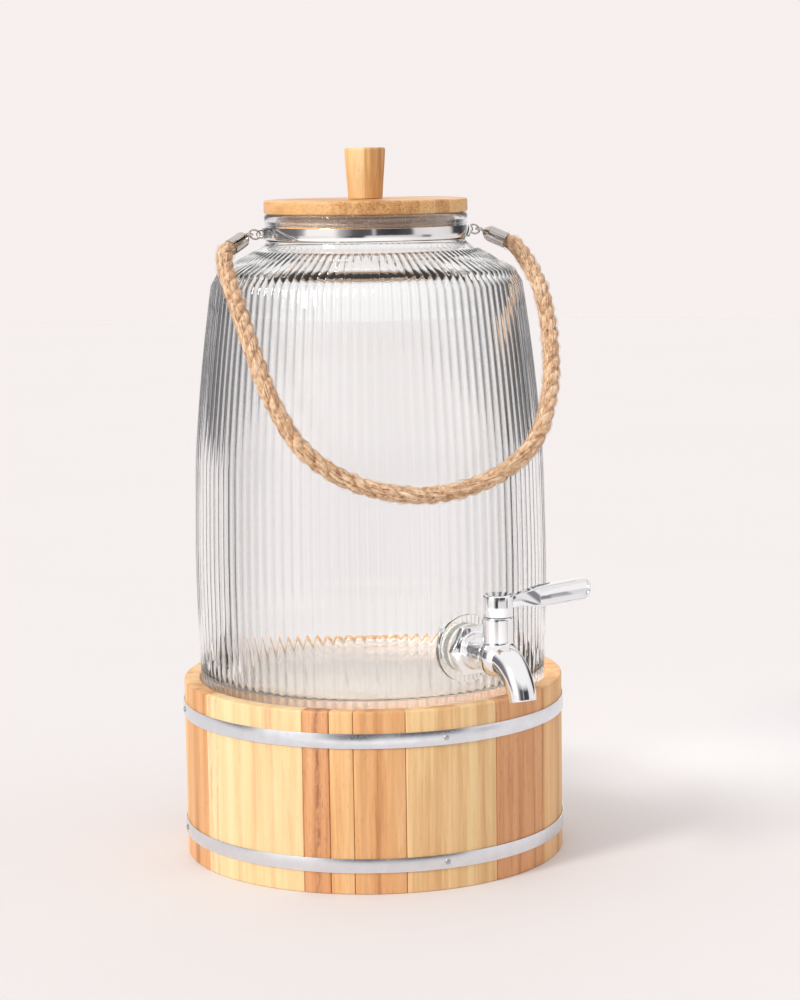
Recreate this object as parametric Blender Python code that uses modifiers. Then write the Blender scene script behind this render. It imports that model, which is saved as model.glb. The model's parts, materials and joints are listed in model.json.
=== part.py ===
"""Countertop water dispenser: ribbed glass jar on a staved stand, with a tap, a lid and a rope handle.

Metres, +Z up, table at z = 0.  The tap faces -Y.  Run with: blender --background --python part.py
"""
import math

import bmesh
import bpy
from mathutils import Matrix, Vector

# ---- driving dimensions -------------------------------------------------------------------------------
GAP = 0.0003                 # clearance between pieces that touch

# stand: a ring of staves, open underneath, held by two hoops
STAND_HEIGHT = 0.1053
STAVE_RADIUS = 0.1135        # outside of the staves
STAVE_THICKNESS = 0.0095
STAVE_ARCS = (38, 8, 7, 15, 29, 22, 31, 17, 26, 35, 12, 28, 24, 20, 30, 18)   # degrees, adds up to 360
STAVE_START = -180           # degrees from +X, where the first stave begins
SHELF_TOP = 0.0933
SHELF_THICKNESS = 0.008
GROOVE_DEPTH = 0.0035
PLANK_WIDTH = 0.072
HOOP_THICKNESS = 0.001
HOOP_CLEARANCE = 0.0006
HOOP_SPANS = {"upper": (0.0845, 0.0931), "lower": (0.0126, 0.0209)}
NAIL_ANGLES = (-110, -10, 75, 165)             # azimuths, 0 at the tap, positive towards +X
NAIL_SHANK = 0.0007
NAIL_HEAD = 0.0017
NAIL_LENGTH = 0.0065

# jar
JAR_BOTTOM = SHELF_TOP + GAP
JAR_FLOOR = 0.1085
JAR_WALL = 0.004
JAR_STEPS = 40
JAR_FOOT_LIFT = 0.001        # hollow under the foot
JAR_LIP_ROUND = 0.0012
BOSS_BACK = 0.1015           # the pad's hidden end, inside the wall
NECK_RADIUS = 0.059
NECK_BORE = 0.0535
LIP_RADIUS = 0.060
LIP_BOTTOM = 0.3740
LIP_TOP = 0.3804
# outside of the jar wall, radius and height, from the shoulder down to the rim of the stand
JAR_WALL_LINE = ((0.0875, 0.3475), (0.0907, 0.3448), (0.0922, 0.3390), (0.0937, 0.3290), (0.0976, 0.2990),
                 (0.1007, 0.2700), (0.1033, 0.2400), (0.1042, 0.2100), (0.1048, 0.1800), (0.1046, 0.1500),
                 (0.1037, 0.1190), (0.1032, 0.1030))

# tap
TAP_HEIGHT = 0.1364
BOSS_RADIUS = 0.0195
BOSS_FACE = 0.1052           # distance of the tap's flat pad from the jar's axis
TAP_HOLE = 0.0083
SHANK_RADIUS = 0.0079
SHANK_END = -0.0200          # along the tap, 0 at the pad's face, positive outwards
WASHER_RADIUS = 0.0145
WASHER_THICKNESS = 0.0027
INNER_WASHER_START = -0.0066
INNER_WASHER_THICKNESS = 0.0025
NUT_THICKNESS = 0.006
NUT_RADIUS = 0.0127          # corner radius, 22 mm across flats
FLANGE_RADIUS = 0.0156       # corner radius, 27 mm across flats
FLANGE_THICKNESS = 0.0042
BARREL_RADIUS = 0.010
STEM_OUT = 0.0308            # the lever's axis, out from the pad's face
BALL_RADIUS = 0.0115
CHIMNEY_RADIUS = 0.0084
CHIMNEY_TOP = 0.0230         # heights here are above the tap's axis
CHAMBER_RADIUS = 0.0073
CHAMBER_FLOOR = -0.009
CORE_TOP = 0.0131
CORE_PORT = 0.0038
STEM_RADIUS = 0.004
STEM_TOP = 0.0327
HUB_TOP = 0.0356
LEVER_HEIGHT = 0.0306
LEVER_THICKNESS = 0.005
LEVER_STUD = 0.002
PANEL_EDGE = 0.0015
PANEL_DEPTH = 0.0008
WATERWAY = 0.005
# spout centre line: out from the pad's face, height above the tap's axis, outer radius
SPOUT_LINE = ((0.0318, -0.0002, 0.0097), (0.0365, -0.0007, 0.0097), (0.0425, -0.0029, 0.0094),
              (0.0488, -0.0082, 0.0088), (0.0532, -0.0152, 0.0082), (0.0548, -0.0212, 0.0078))
SPOUT_WALL = 0.0022
# lever outline from its root to its round end: out from the stem's axis, middle height, half height
LEVER_LINE = ((0.0087, 0.0000, 0.0033), (0.0170, 0.0006, 0.0040), (0.0260, 0.0010, 0.0056),
              (0.0340, 0.0013, 0.0060), (0.0560, 0.0023, 0.0062))

# neck band, lugs and handle
BAND_SPAN = (0.3660, 0.3732)
BAND_RADIUS = 0.0593
BAND_THICKNESS = 0.0011
CLAMP_HALF_GAP = 2.6         # degrees
CLAMP_EAR = 0.0685
CLAMP_SCREW = 0.0014
CLAMP_HEAD = 0.0026
CLAMP_NUT = 0.0031           # corner radius
CLAMP_NUT_THICKNESS = 0.0024
CLAMP_TAIL = 0.0045          # of the screw, past the far ear
HANDLE_AZIMUTH = 76          # degrees from the tap round to the right-hand lug
HINGE_HEIGHT = 0.3695
LUG_HALF_ARC = 30            # degrees
LUG_THICKNESS = 0.001
EYE_RADIUS = 0.0019          # holes that the rings pass through
EYE_RIM = 0.00065
EYE_PLATE = 0.0008
LUG_EYE = 0.0643             # distance of the lug's eye from the jar's axis
RING_RADIUS = 0.0033
RING_WIRE = 0.0006
RING_TILT = 52.5             # degrees
TAB_TILT = 105.0             # degrees
TAB_EYE = LUG_EYE + 2 * RING_RADIUS
SLEEVE_START = 0.0028
SLEEVE_END = 0.0180
SLEEVE_RADIUS = 0.0048
SLEEVE_AIM = (0.76, -0.52, -0.39)
ROPE_RADIUS = 0.0050
# half of the rope's route from the right-hand sleeve to its lowest point, in the handle's own frame:
# out along the hinge line, back from it, and up from it
ROPE_ROUTE = ((0.0912, -0.0215, -0.0160), (0.0922, -0.0360, -0.0260), (0.0915, -0.0530, -0.0400),
              (0.0885, -0.0710, -0.0630), (0.0825, -0.0860, -0.0885), (0.0700, -0.0990, -0.1140),
              (0.0500, -0.1064, -0.1305), (0.0260, -0.1096, -0.1398), (0.0, -0.1104, -0.1430))
ROPE_LEAD = 0.006            # straight out of the sleeve for this far
ROPE_POINTS = 30

# lid
LID_RADIUS = 0.060
LID_BOTTOM = LIP_TOP + GAP
LID_THICKNESS = 0.0080
PLUG_RADIUS = 0.052
PLUG_BOTTOM = 0.3715
SEAL_SPAN = (0.3745, 0.3785)
KNOB_HEIGHT = 0.0297
KNOB_FOOT = 0.0101
KNOB_TOP = 0.0121
SCREW_SHANK = 0.002
SCREW_HOLE = 0.0023
SCREW_DEPTH = 0.018
SCREW_HEAD = 0.0046
SCREW_RECESS = (0.0055, 0.0035)   # radius and depth of the hollow for the screw's head
LID_EDGE = 0.0014
SEAL_GROOVE = 0.0024

# the lip of the spout is the furthest thing forward, the stand the furthest back
SPOUT_REACH = BOSS_FACE + SPOUT_LINE[-1][0] + SPOUT_LINE[-1][2]
HOOP_RADIUS = STAVE_RADIUS + HOOP_CLEARANCE + HOOP_THICKNESS
AXIS_Y = (SPOUT_REACH - HOOP_RADIUS) / 2

COLLECTION = "water_dispenser"


# ---- helpers ------------------------------------------------------------------------------------------
def clear_scene():
    for obj in list(bpy.data.objects):
        bpy.data.objects.remove(obj, do_unlink=True)


def new_collection(name):
    collection = bpy.data.collections.new(name)
    bpy.context.scene.collection.children.link(collection)
    return collection


def new_material(name, color, roughness, metallic=0.0, transmission=0.0):
    material = bpy.data.materials.new(name)
    material.use_nodes = True
    shader = material.node_tree.nodes["Principled BSDF"]
    shader.inputs["Base Color"].default_value = (*color, 1.0)
    shader.inputs["Roughness"].default_value = roughness
    shader.inputs["Metallic"].default_value = metallic
    shader.inputs["Transmission Weight"].default_value = transmission
    material.diffuse_color = (*color, 1.0)
    return material


def new_empty(name, location, parent=None, turn=0.0):
    empty = bpy.data.objects.new(name, None)
    empty.location = location
    empty.rotation_euler = (0.0, 0.0, turn)
    empty.empty_display_size = 0.02
    empty.parent = parent
    parts.objects.link(empty)
    return empty


def new_object(name, mesh, material, parent, location=(0, 0, 0), rotation=(0, 0, 0)):
    obj = bpy.data.objects.new(name, mesh)
    obj.parent = parent
    obj.location = location
    obj.rotation_euler = rotation
    if material:
        mesh.materials.append(material)
        parts.objects.link(obj)
    else:
        cutters.objects.link(obj)
        obj.hide_render = True
        obj.display_type = "WIRE"
    return obj


def mesh_from(name, bm):
    mesh = bpy.data.meshes.new(name)
    bm.to_mesh(mesh)
    bm.free()
    mesh.shade_smooth()
    mesh.set_sharp_from_angle(angle=math.radians(35))
    return mesh


def cylinder(name, radius, start, end, material=None, parent=None, location=(0, 0, 0), rotation=(0, 0, 0),
             segments=24):
    """A solid cylinder along its own Z, from start to end."""
    bm = bmesh.new()
    place = Matrix.Translation((0, 0, (start + end) / 2))
    bmesh.ops.create_cone(bm, cap_ends=True, segments=segments, radius1=radius, radius2=radius,
                          depth=end - start, matrix=place)
    return new_object(name, mesh_from(name, bm), material, parent, location, rotation)


def box(name, size, material=None, parent=None, location=(0, 0, 0), rotation=(0, 0, 0)):
    bm = bmesh.new()
    bmesh.ops.create_cube(bm, size=1.0, matrix=Matrix.Diagonal((*size, 1.0)))
    return new_object(name, mesh_from(name, bm), material, parent, location, rotation)


def turned(name, outline, material, parent=None, location=(0, 0, 0), rotation=(0, 0, 0), steps=32,
           closed=False):
    """Turns an outline of (radius, height) points about Z; closed for a ring that misses the axis."""
    bm = bmesh.new()
    points = [bm.verts.new((radius, 0.0, height)) for radius, height in outline]
    for first, second in zip(points, points[1:]):
        bm.edges.new((first, second))
    if closed:
        bm.edges.new((points[-1], points[0]))
    obj = new_object(name, mesh_from(name, bm), material, parent, location, rotation)
    screw = obj.modifiers.new("Screw", "SCREW")
    screw.steps = steps
    screw.render_steps = steps
    screw.use_merge_vertices = True
    screw.merge_threshold = 0.00001
    return obj


def ring(name, inner, outer, bottom, top, material, parent=None, rotation=(0, 0, 0), steps=20):
    """A plain ring with square edges."""
    outline = ((inner, top), (outer, top), (outer, bottom), (inner, bottom))
    return turned(name, outline, material, parent, rotation=rotation, steps=steps, closed=True)


def torus(name, major, minor, material, parent, location, rotation=(0, 0, 0), steps=18, sides=6):
    outline = []
    for i in range(sides):
        angle = -2 * math.pi * i / sides
        outline.append((major + minor * math.cos(angle), minor * math.sin(angle)))
    return turned(name, outline, material, parent, location, rotation, steps, closed=True)


def combine(obj, tool, operation):
    boolean = obj.modifiers.new(tool.name, "BOOLEAN")
    boolean.operation = operation
    boolean.solver = "EXACT"
    boolean.object = tool


def cut(obj, tool):
    combine(obj, tool, "DIFFERENCE")


def join(obj, tool):
    combine(obj, tool, "UNION")


def baked_mesh(obj):
    """The mesh of a curve or of an object with modifiers, with its caps welded."""
    bpy.context.view_layer.update()
    evaluated = obj.evaluated_get(bpy.context.evaluated_depsgraph_get())
    mesh = bpy.data.meshes.new_from_object(evaluated)
    bm = bmesh.new()
    bm.from_mesh(mesh)
    bmesh.ops.remove_doubles(bm, verts=bm.verts, dist=0.00001)
    bm.to_mesh(mesh)
    bm.free()
    return mesh


def baked(obj, material=None):
    """Replaces a curve by a mesh object of the same name and place."""
    mesh = baked_mesh(obj)
    mesh.materials.clear()
    name, parent, place = obj.name, obj.parent, obj.matrix_world.copy()
    bpy.data.objects.remove(obj, do_unlink=True)
    solid = new_object(name, mesh, material, parent)
    bpy.context.view_layer.update()
    solid.matrix_world = place
    return solid


def smooth_line(points, count):
    """Points at even steps along a smooth curve (Catmull-Rom) through the given points."""
    points = [Vector(point) for point in points]
    ends = [2 * points[0] - points[1]] + points + [2 * points[-1] - points[-2]]
    fine = []
    for before, start, end, after in zip(ends, ends[1:], ends[2:], ends[3:]):
        for i in range(40):
            t = i / 40
            fine.append(0.5 * (2 * start + (end - before) * t
                               + (2 * before - 5 * start + 4 * end - after) * t ** 2
                               + (3 * start - before - 3 * end + after) * t ** 3))
    fine.append(points[-1])
    reach = [0.0]
    for first, second in zip(fine, fine[1:]):
        reach.append(reach[-1] + (second - first).length)
    line = []
    j = 0
    for i in range(count):
        target = reach[-1] * i / (count - 1)
        while j < len(reach) - 2 and reach[j + 1] < target:
            j += 1
        share = (target - reach[j]) / (reach[j + 1] - reach[j])
        line.append(fine[j].lerp(fine[j + 1], share))
    return line


def tube(name, line, radius, parent, location=(0, 0, 0), sides=2, radii=None, material=None):
    """A round tube along a line of points; radii gives each point its own radius."""
    data = bpy.data.curves.new(name, "CURVE")
    data.dimensions = "3D"
    data.bevel_depth = radius
    data.bevel_resolution = sides
    data.use_fill_caps = True
    spline = data.splines.new("POLY")
    spline.points.add(len(line) - 1)
    for i, point in enumerate(line):
        spline.points[i].co = (*point, 1.0)
        spline.points[i].radius = radii[i] / radius if radii else 1.0
    obj = bpy.data.objects.new(name, data)
    obj.parent = parent
    obj.location = location
    parts.objects.link(obj)
    if material:
        data.materials.append(material)
    return obj


def outward(azimuth):
    """Turn about Z that brings +X to an azimuth, which is 0 at the tap and grows towards +X."""
    return math.radians(azimuth - 90)


# ---- stand --------------------------------------------------------------------------------------------
def make_stave(number, start, arc, material):
    """One stave: a block with a groove for the shelf, swept round its share of the ring."""
    inner = STAVE_RADIUS - STAVE_THICKNESS
    groove = inner + GROOVE_DEPTH
    groove_top = SHELF_TOP + GAP
    groove_bottom = SHELF_TOP - SHELF_THICKNESS - GAP
    outline = ((inner, STAND_HEIGHT), (STAVE_RADIUS, STAND_HEIGHT), (STAVE_RADIUS, 0.0), (inner, 0.0),
               (inner, groove_bottom), (groove, groove_bottom), (groove, groove_top), (inner, groove_top))
    joint = math.degrees(GAP / inner)
    strip = turned("stave_strip", outline, None, closed=True, steps=max(2, round(arc / 5)))
    strip.modifiers["Screw"].angle = math.radians(arc - joint)
    mesh = baked_mesh(strip)
    bpy.data.objects.remove(strip, do_unlink=True)
    bm = bmesh.new()
    bm.from_mesh(mesh)
    ends = [edge for edge in bm.edges if edge.is_boundary]
    bmesh.ops.holes_fill(bm, edges=ends, sides=len(outline))
    bmesh.ops.recalc_face_normals(bm, faces=bm.faces)
    name = f"stave_{number:02d}"
    turn = math.radians(start + joint / 2)
    return new_object(name, mesh_from(name, bm), material, axis, rotation=(0, 0, turn))


def make_staves():
    staves = []
    start = STAVE_START
    for number, arc in enumerate(STAVE_ARCS, 1):
        tone = stave_woods[(number * 5) % len(stave_woods)]
        staves.append((start, start + arc, make_stave(number, start, arc, tone)))
        start += arc
    return staves


def make_shelf():
    """The round shelf, cut from three planks side by side."""
    radius = STAVE_RADIUS - STAVE_THICKNESS + GROOVE_DEPTH - GAP
    edges = (-radius, -PLANK_WIDTH / 2, PLANK_WIDTH / 2, radius)
    for name, low, high in zip(("shelf_left", "shelf_middle", "shelf_right"), edges, edges[1:]):
        bm = bmesh.new()
        middle = Matrix.Translation((0, 0, SHELF_TOP - SHELF_THICKNESS / 2))
        bmesh.ops.create_cone(bm, cap_ends=True, segments=72, radius1=radius, radius2=radius,
                              depth=SHELF_THICKNESS, matrix=middle)
        for side, place in ((-1, low + GAP / 2), (1, high - GAP / 2)):
            everything = bm.verts[:] + bm.edges[:] + bm.faces[:]
            bmesh.ops.bisect_plane(bm, geom=everything, plane_co=(place, 0, 0), plane_no=(side, 0, 0),
                                   clear_outer=True)
            rim = [edge for edge in bm.edges if edge.is_boundary]
            bmesh.ops.holes_fill(bm, edges=rim, sides=0)
        new_object(name, mesh_from(name, bm), shelf_wood, axis)


def make_hoop(which, span):
    inner = STAVE_RADIUS + HOOP_CLEARANCE
    return ring(f"hoop_{which}", inner, HOOP_RADIUS, *span, galvanised, axis, steps=48)


def make_nail(name, azimuth, height):
    """A round-headed nail through a hoop into a stave."""
    head = NAIL_HEAD
    outline = ((0.0, head * 0.45), (head * 0.6, head * 0.36), (head, 0.0), (NAIL_SHANK, 0.0),
               (NAIL_SHANK, -NAIL_LENGTH), (0.0, -NAIL_LENGTH - 2 * NAIL_SHANK))
    turn = outward(azimuth)
    reach = HOOP_RADIUS + GAP
    place = (reach * math.cos(turn), reach * math.sin(turn), height)
    return turned(name, outline, nail_steel, axis, place, (0, math.radians(90), turn), steps=8)


def make_hoops_and_nails(staves):
    for which, span in HOOP_SPANS.items():
        hoop = make_hoop(which, span)
        height = sum(span) / 2
        for number, azimuth in enumerate(NAIL_ANGLES, 1):
            make_nail(f"nail_{which}_{number}", azimuth, height)
            turn = outward(azimuth)
            drill = cylinder(f"drill_{which}_{number}", NAIL_SHANK + GAP, 0.106, 0.118, parent=axis,
                             location=(0, 0, height), rotation=(0, math.radians(90), turn), segments=8)
            cut(hoop, drill)
            for low, high, stave in staves:
                if (math.degrees(turn) - low) % 360 < high - low:
                    cut(stave, drill)


# ---- jar ----------------------------------------------------------------------------------------------
def jar_outline():
    """The inside from the floor up to the lip, then the outside down to the foot."""
    inside = [(0.0, JAR_FLOOR), (0.088, JAR_FLOOR), (0.0955, JAR_FLOOR + 0.002), (0.0990, JAR_FLOOR + 0.006)]
    for radius, height in reversed(JAR_WALL_LINE[2:-2]):
        inside.append((radius - JAR_WALL, height))
    inside.append((JAR_WALL_LINE[0][0] - 0.0020, JAR_WALL_LINE[0][1] - JAR_WALL))
    inside += [(0.0560, 0.3585), (NECK_BORE, 0.3620), (NECK_BORE, LIP_TOP - 0.001)]
    lip = [(NECK_BORE + 0.001, LIP_TOP), (LIP_RADIUS - JAR_LIP_ROUND, LIP_TOP),
           (LIP_RADIUS, LIP_TOP - JAR_LIP_ROUND), (LIP_RADIUS, LIP_BOTTOM + 0.0006),
           (NECK_RADIUS, LIP_BOTTOM)]
    outside = [(NECK_RADIUS, 0.3632), (0.0610, 0.3608)] + list(JAR_WALL_LINE)
    foot = [(0.1000, JAR_BOTTOM + 0.0012), (0.0960, JAR_BOTTOM), (0.0900, JAR_BOTTOM),
            (0.0860, JAR_BOTTOM + JAR_FOOT_LIFT), (0.0, JAR_BOTTOM + JAR_FOOT_LIFT)]
    return inside + lip + outside + foot


def make_jar():
    jar = turned("glass_jar", jar_outline(), glass, axis, steps=JAR_STEPS)
    facing = (math.radians(90), 0, 0)
    pad = cylinder("tap_pad", BOSS_RADIUS, BOSS_BACK, BOSS_FACE, parent=axis, location=(0, 0, TAP_HEIGHT),
                   rotation=facing, segments=32)
    hole = cylinder("tap_hole", TAP_HOLE, 0.090, 0.115, parent=axis, location=(0, 0, TAP_HEIGHT),
                    rotation=facing, segments=24)
    join(jar, pad)
    cut(jar, hole)


# ---- tap ----------------------------------------------------------------------------------------------
def spout_tube(name, start_radius, wall):
    points = [(0.0, -out, up) for out, up, radius in SPOUT_LINE]
    widths = [(radius - wall, 0.0, 0.0) for out, up, radius in SPOUT_LINE]
    line = smooth_line(points, 11)
    radii = [width.x for width in smooth_line(widths, 11)]
    if wall:
        line.append(line[-1] + (line[-1] - line[-2]))
        radii.append(radii[-1])
    return tube(name, line, start_radius, tap_axis, sides=3, radii=radii)


def make_tap_body():
    """Threaded shank, hexagon, barrel, valve chamber and spout in one casting, hollow right through."""
    flange_start = GAP + WASHER_THICKNESS + GAP
    flange_end = flange_start + FLANGE_THICKNESS
    outline = ((0.0, STEM_OUT), (BARREL_RADIUS, STEM_OUT), (BARREL_RADIUS, flange_end + 0.0012),
               (BARREL_RADIUS + 0.0015, flange_end - 0.0005),
               (BARREL_RADIUS + 0.0015, flange_start + 0.0005),
               (SHANK_RADIUS, flange_start + 0.0005), (SHANK_RADIUS, SHANK_END + 0.0008),
               (SHANK_RADIUS - 0.0008, SHANK_END), (0.0, SHANK_END))
    body = turned("tap_body", outline, chrome, tap_axis, rotation=facing_out, steps=24)
    hexagon = cylinder("tap_hexagon", FLANGE_RADIUS, flange_start, flange_end, parent=tap_axis,
                       rotation=facing_out, segments=6)
    ball_bm = bmesh.new()
    bmesh.ops.create_uvsphere(ball_bm, u_segments=22, v_segments=12, radius=BALL_RADIUS)
    ball = new_object("tap_ball", mesh_from("tap_ball", ball_bm), None, tap_axis, (0, -STEM_OUT, 0))
    chimney = cylinder("tap_chimney", CHIMNEY_RADIUS, 0.004, CHIMNEY_TOP, parent=tap_axis,
                       location=(0, -STEM_OUT, 0), segments=26)
    spout = baked(spout_tube("tap_spout", 0.009, 0.0))
    for piece in (hexagon, ball, chimney, spout):
        join(body, piece)
    chamber = cylinder("valve_chamber", CHAMBER_RADIUS, CHAMBER_FLOOR, 0.04, parent=tap_axis,
                       location=(0, -STEM_OUT, 0), segments=24)
    inlet = cylinder("inlet_bore", WATERWAY, SHANK_END - 0.01, STEM_OUT, parent=tap_axis,
                     rotation=facing_out, segments=16)
    outlet = baked(spout_tube("outlet_bore", 0.007, SPOUT_WALL))
    for bore in (chamber, inlet, outlet):
        cut(body, bore)


def make_tap_fixings():
    ring("outer_washer", SHANK_RADIUS + GAP, WASHER_RADIUS, GAP, GAP + WASHER_THICKNESS, silicone, tap_axis,
         facing_out)
    washer_end = INNER_WASHER_START - INNER_WASHER_THICKNESS
    ring("inner_washer", SHANK_RADIUS + GAP, WASHER_RADIUS - 0.0005, washer_end, INNER_WASHER_START,
         silicone, tap_axis, facing_out)
    nut_end = washer_end - GAP
    nut = cylinder("lock_nut", NUT_RADIUS, nut_end - NUT_THICKNESS, nut_end, steel, tap_axis,
                   rotation=facing_out, segments=6)
    thread = cylinder("lock_nut_bore", SHANK_RADIUS + GAP, -0.03, 0.0, parent=tap_axis, rotation=facing_out)
    cut(nut, thread)


def make_valve():
    """The turning core with its stem, the seal on the stem, and the gland that holds it down."""
    core_radius = CHAMBER_RADIUS - GAP
    outline = ((0.0, STEM_TOP), (STEM_RADIUS, STEM_TOP), (STEM_RADIUS, CORE_TOP), (core_radius, CORE_TOP),
               (core_radius, CHAMBER_FLOOR + GAP), (0.0, CHAMBER_FLOOR + GAP))
    core = turned("valve_core", outline, steel, lever_axis, steps=24)
    port = cylinder("core_port", CORE_PORT, -0.01, 0.01, parent=lever_axis,
                    rotation=(0, math.radians(90), 0), segments=16)
    cut(core, port)
    seal_wire = (core_radius - STEM_RADIUS) / 2 - GAP / 2
    seal_height = CORE_TOP + GAP + seal_wire
    torus("stem_seal", (core_radius + STEM_RADIUS) / 2 + GAP / 2, seal_wire, rubber, lever_axis,
          (0, 0, seal_height))
    ring("gland_nut", STEM_RADIUS + GAP, core_radius, seal_height + seal_wire + GAP, CHIMNEY_TOP - GAP,
         steel, lever_axis)


def make_lever_hub():
    top = HUB_TOP
    outline = ((0.0, top), (CHIMNEY_RADIUS - 0.0012, top), (CHIMNEY_RADIUS, top - 0.0012),
               (CHIMNEY_RADIUS, CHIMNEY_TOP + GAP), (STEM_RADIUS + GAP, CHIMNEY_TOP + GAP),
               (STEM_RADIUS + GAP, STEM_TOP + GAP), (0.0, STEM_TOP + GAP))
    hub = turned("lever_hub", outline, chrome, lever_axis, steps=32)
    socket = cylinder("lever_socket", LEVER_STUD + GAP, 0.003, 0.012, parent=lever_axis,
                      location=(0, 0, LEVER_HEIGHT), rotation=(0, math.radians(90), 0), segments=12)
    cut(hub, socket)


def lever_plate(name, thickness, line, inset=0.0, material=None):
    """A flat outline along the lever, with a round end, as a plate in the XZ plane."""
    upper = [(out, middle + half - inset) for out, middle, half in line]
    lower = [(out, middle - half + inset) for out, middle, half in line]
    out, middle, half = line[-1]
    arc = []
    for i in range(1, 8):
        angle = math.pi / 2 - math.pi * i / 8
        arc.append((out + (half - inset) * math.cos(angle), middle + (half - inset) * math.sin(angle)))
    points = lower + arc[::-1] + upper[::-1]
    data = bpy.data.curves.new(name, "CURVE")
    data.dimensions = "2D"
    data.fill_mode = "BOTH"
    data.extrude = thickness / 2
    spline = data.splines.new("POLY")
    spline.points.add(len(points) - 1)
    spline.use_cyclic_u = True
    for i, (across, up) in enumerate(points):
        spline.points[i].co = (across, up, 0.0, 1.0)
    plate = bpy.data.objects.new(name, data)
    plate.parent = lever_axis
    plate.rotation_euler = (math.radians(90), 0, 0)
    plate.location = (0, 0, LEVER_HEIGHT)
    parts.objects.link(plate)
    return baked(plate, material)


def make_lever():
    lever = lever_plate("tap_lever", LEVER_THICKNESS, LEVER_LINE, material=chrome)
    stud = cylinder("lever_stud", LEVER_STUD, STEM_RADIUS + GAP, 0.012, parent=lever_axis,
                    location=(0, 0, LEVER_HEIGHT), rotation=(0, math.radians(90), 0), segments=12)
    join(lever, stud)
    for side in (-1, 1):
        panel = lever_plate(f"lever_panel_{side + 1}", 2 * PANEL_DEPTH, LEVER_LINE[2:], PANEL_EDGE)
        panel.location.y += side * LEVER_THICKNESS / 2
        cut(lever, panel)


# ---- lid ----------------------------------------------------------------------------------------------
def make_lid():
    """Bamboo disc, the plug under it, the seal round the plug, and the knob with its screw."""
    radius = LID_RADIUS
    height = LID_THICKNESS
    disc = ((SCREW_HOLE, height), (radius - LID_EDGE, height), (radius - 0.0004, height - 0.0004),
            (radius, height - LID_EDGE), (radius, LID_EDGE), (radius - LID_EDGE, 0.0), (SCREW_HOLE, 0.0))
    turned("lid_disc", disc, bamboo, lid_axis, steps=44, closed=True)
    top = -GAP
    bottom = PLUG_BOTTOM - LID_BOTTOM
    seal_low, seal_high = (height - LID_BOTTOM for height in SEAL_SPAN)
    groove = PLUG_RADIUS - SEAL_GROOVE
    recess, recess_depth = SCREW_RECESS
    plug = ((SCREW_HOLE, top), (PLUG_RADIUS, top), (PLUG_RADIUS, seal_high + GAP), (groove, seal_high + GAP),
            (groove, seal_low - GAP), (PLUG_RADIUS, seal_low - GAP), (PLUG_RADIUS, bottom + 0.001),
            (PLUG_RADIUS - 0.001, bottom), (recess, bottom),
            (recess, bottom + recess_depth), (SCREW_HOLE, bottom + recess_depth))
    turned("lid_plug", plug, bamboo, lid_axis, steps=36, closed=True)
    middle = (seal_low + seal_high) / 2
    lip = NECK_BORE - 0.0005
    dip = lip - 0.0008
    seal = ((groove + GAP, seal_high), (dip, seal_high), (lip, middle + 0.0012), (dip, middle),
            (lip, middle - 0.0012), (dip, seal_low), (groove + GAP, seal_low))
    turned("lid_seal", seal, silicone, lid_axis, steps=36, closed=True)
    foot = LID_THICKNESS + GAP
    tip = foot + KNOB_HEIGHT
    knob = ((0.0, tip), (KNOB_TOP - 0.0010, tip), (KNOB_TOP, tip - 0.0010),
            (KNOB_TOP - 0.0007, foot + 0.0200), (KNOB_FOOT + 0.0004, foot + 0.0090), (KNOB_FOOT, foot),
            (SCREW_HOLE, foot),
            (SCREW_HOLE, foot + SCREW_DEPTH), (0.0, foot + SCREW_DEPTH))
    turned("lid_knob", knob, bamboo, lid_axis, steps=24)
    seat = bottom + recess_depth - GAP
    tip = foot + SCREW_DEPTH - 0.001
    screw = ((0.0, tip), (SCREW_SHANK, tip - 0.002), (SCREW_SHANK, seat),
             (SCREW_HEAD, seat), (SCREW_HEAD, seat - 0.0012), (0.0036, seat - 0.0022), (0.0, seat - 0.0022))
    turned("knob_screw", screw, steel, lid_axis, steps=16)


# ---- neck band and handle -----------------------------------------------------------------------------
def upright_strip(name, path, bottom, top, thickness, material, parent, turn, offset):
    """A sheet-metal strip on edge along a path of (x, y) points; top may be a function of the index."""
    bm = bmesh.new()
    low = [bm.verts.new((x, y, bottom)) for x, y in path]
    high = [bm.verts.new((x, y, top(i))) for i, (x, y) in enumerate(path)]
    for i in range(len(path) - 1):
        bm.faces.new((low[i], low[i + 1], high[i + 1], high[i]))
    obj = new_object(name, mesh_from(name, bm), material, parent, rotation=(0, 0, turn))
    wall = obj.modifiers.new("Solidify", "SOLIDIFY")
    wall.thickness = thickness
    wall.offset = offset
    wall.use_even_offset = True
    return obj


def polar(radius, degrees):
    return (radius * math.cos(math.radians(degrees)), radius * math.sin(math.radians(degrees)))


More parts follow.
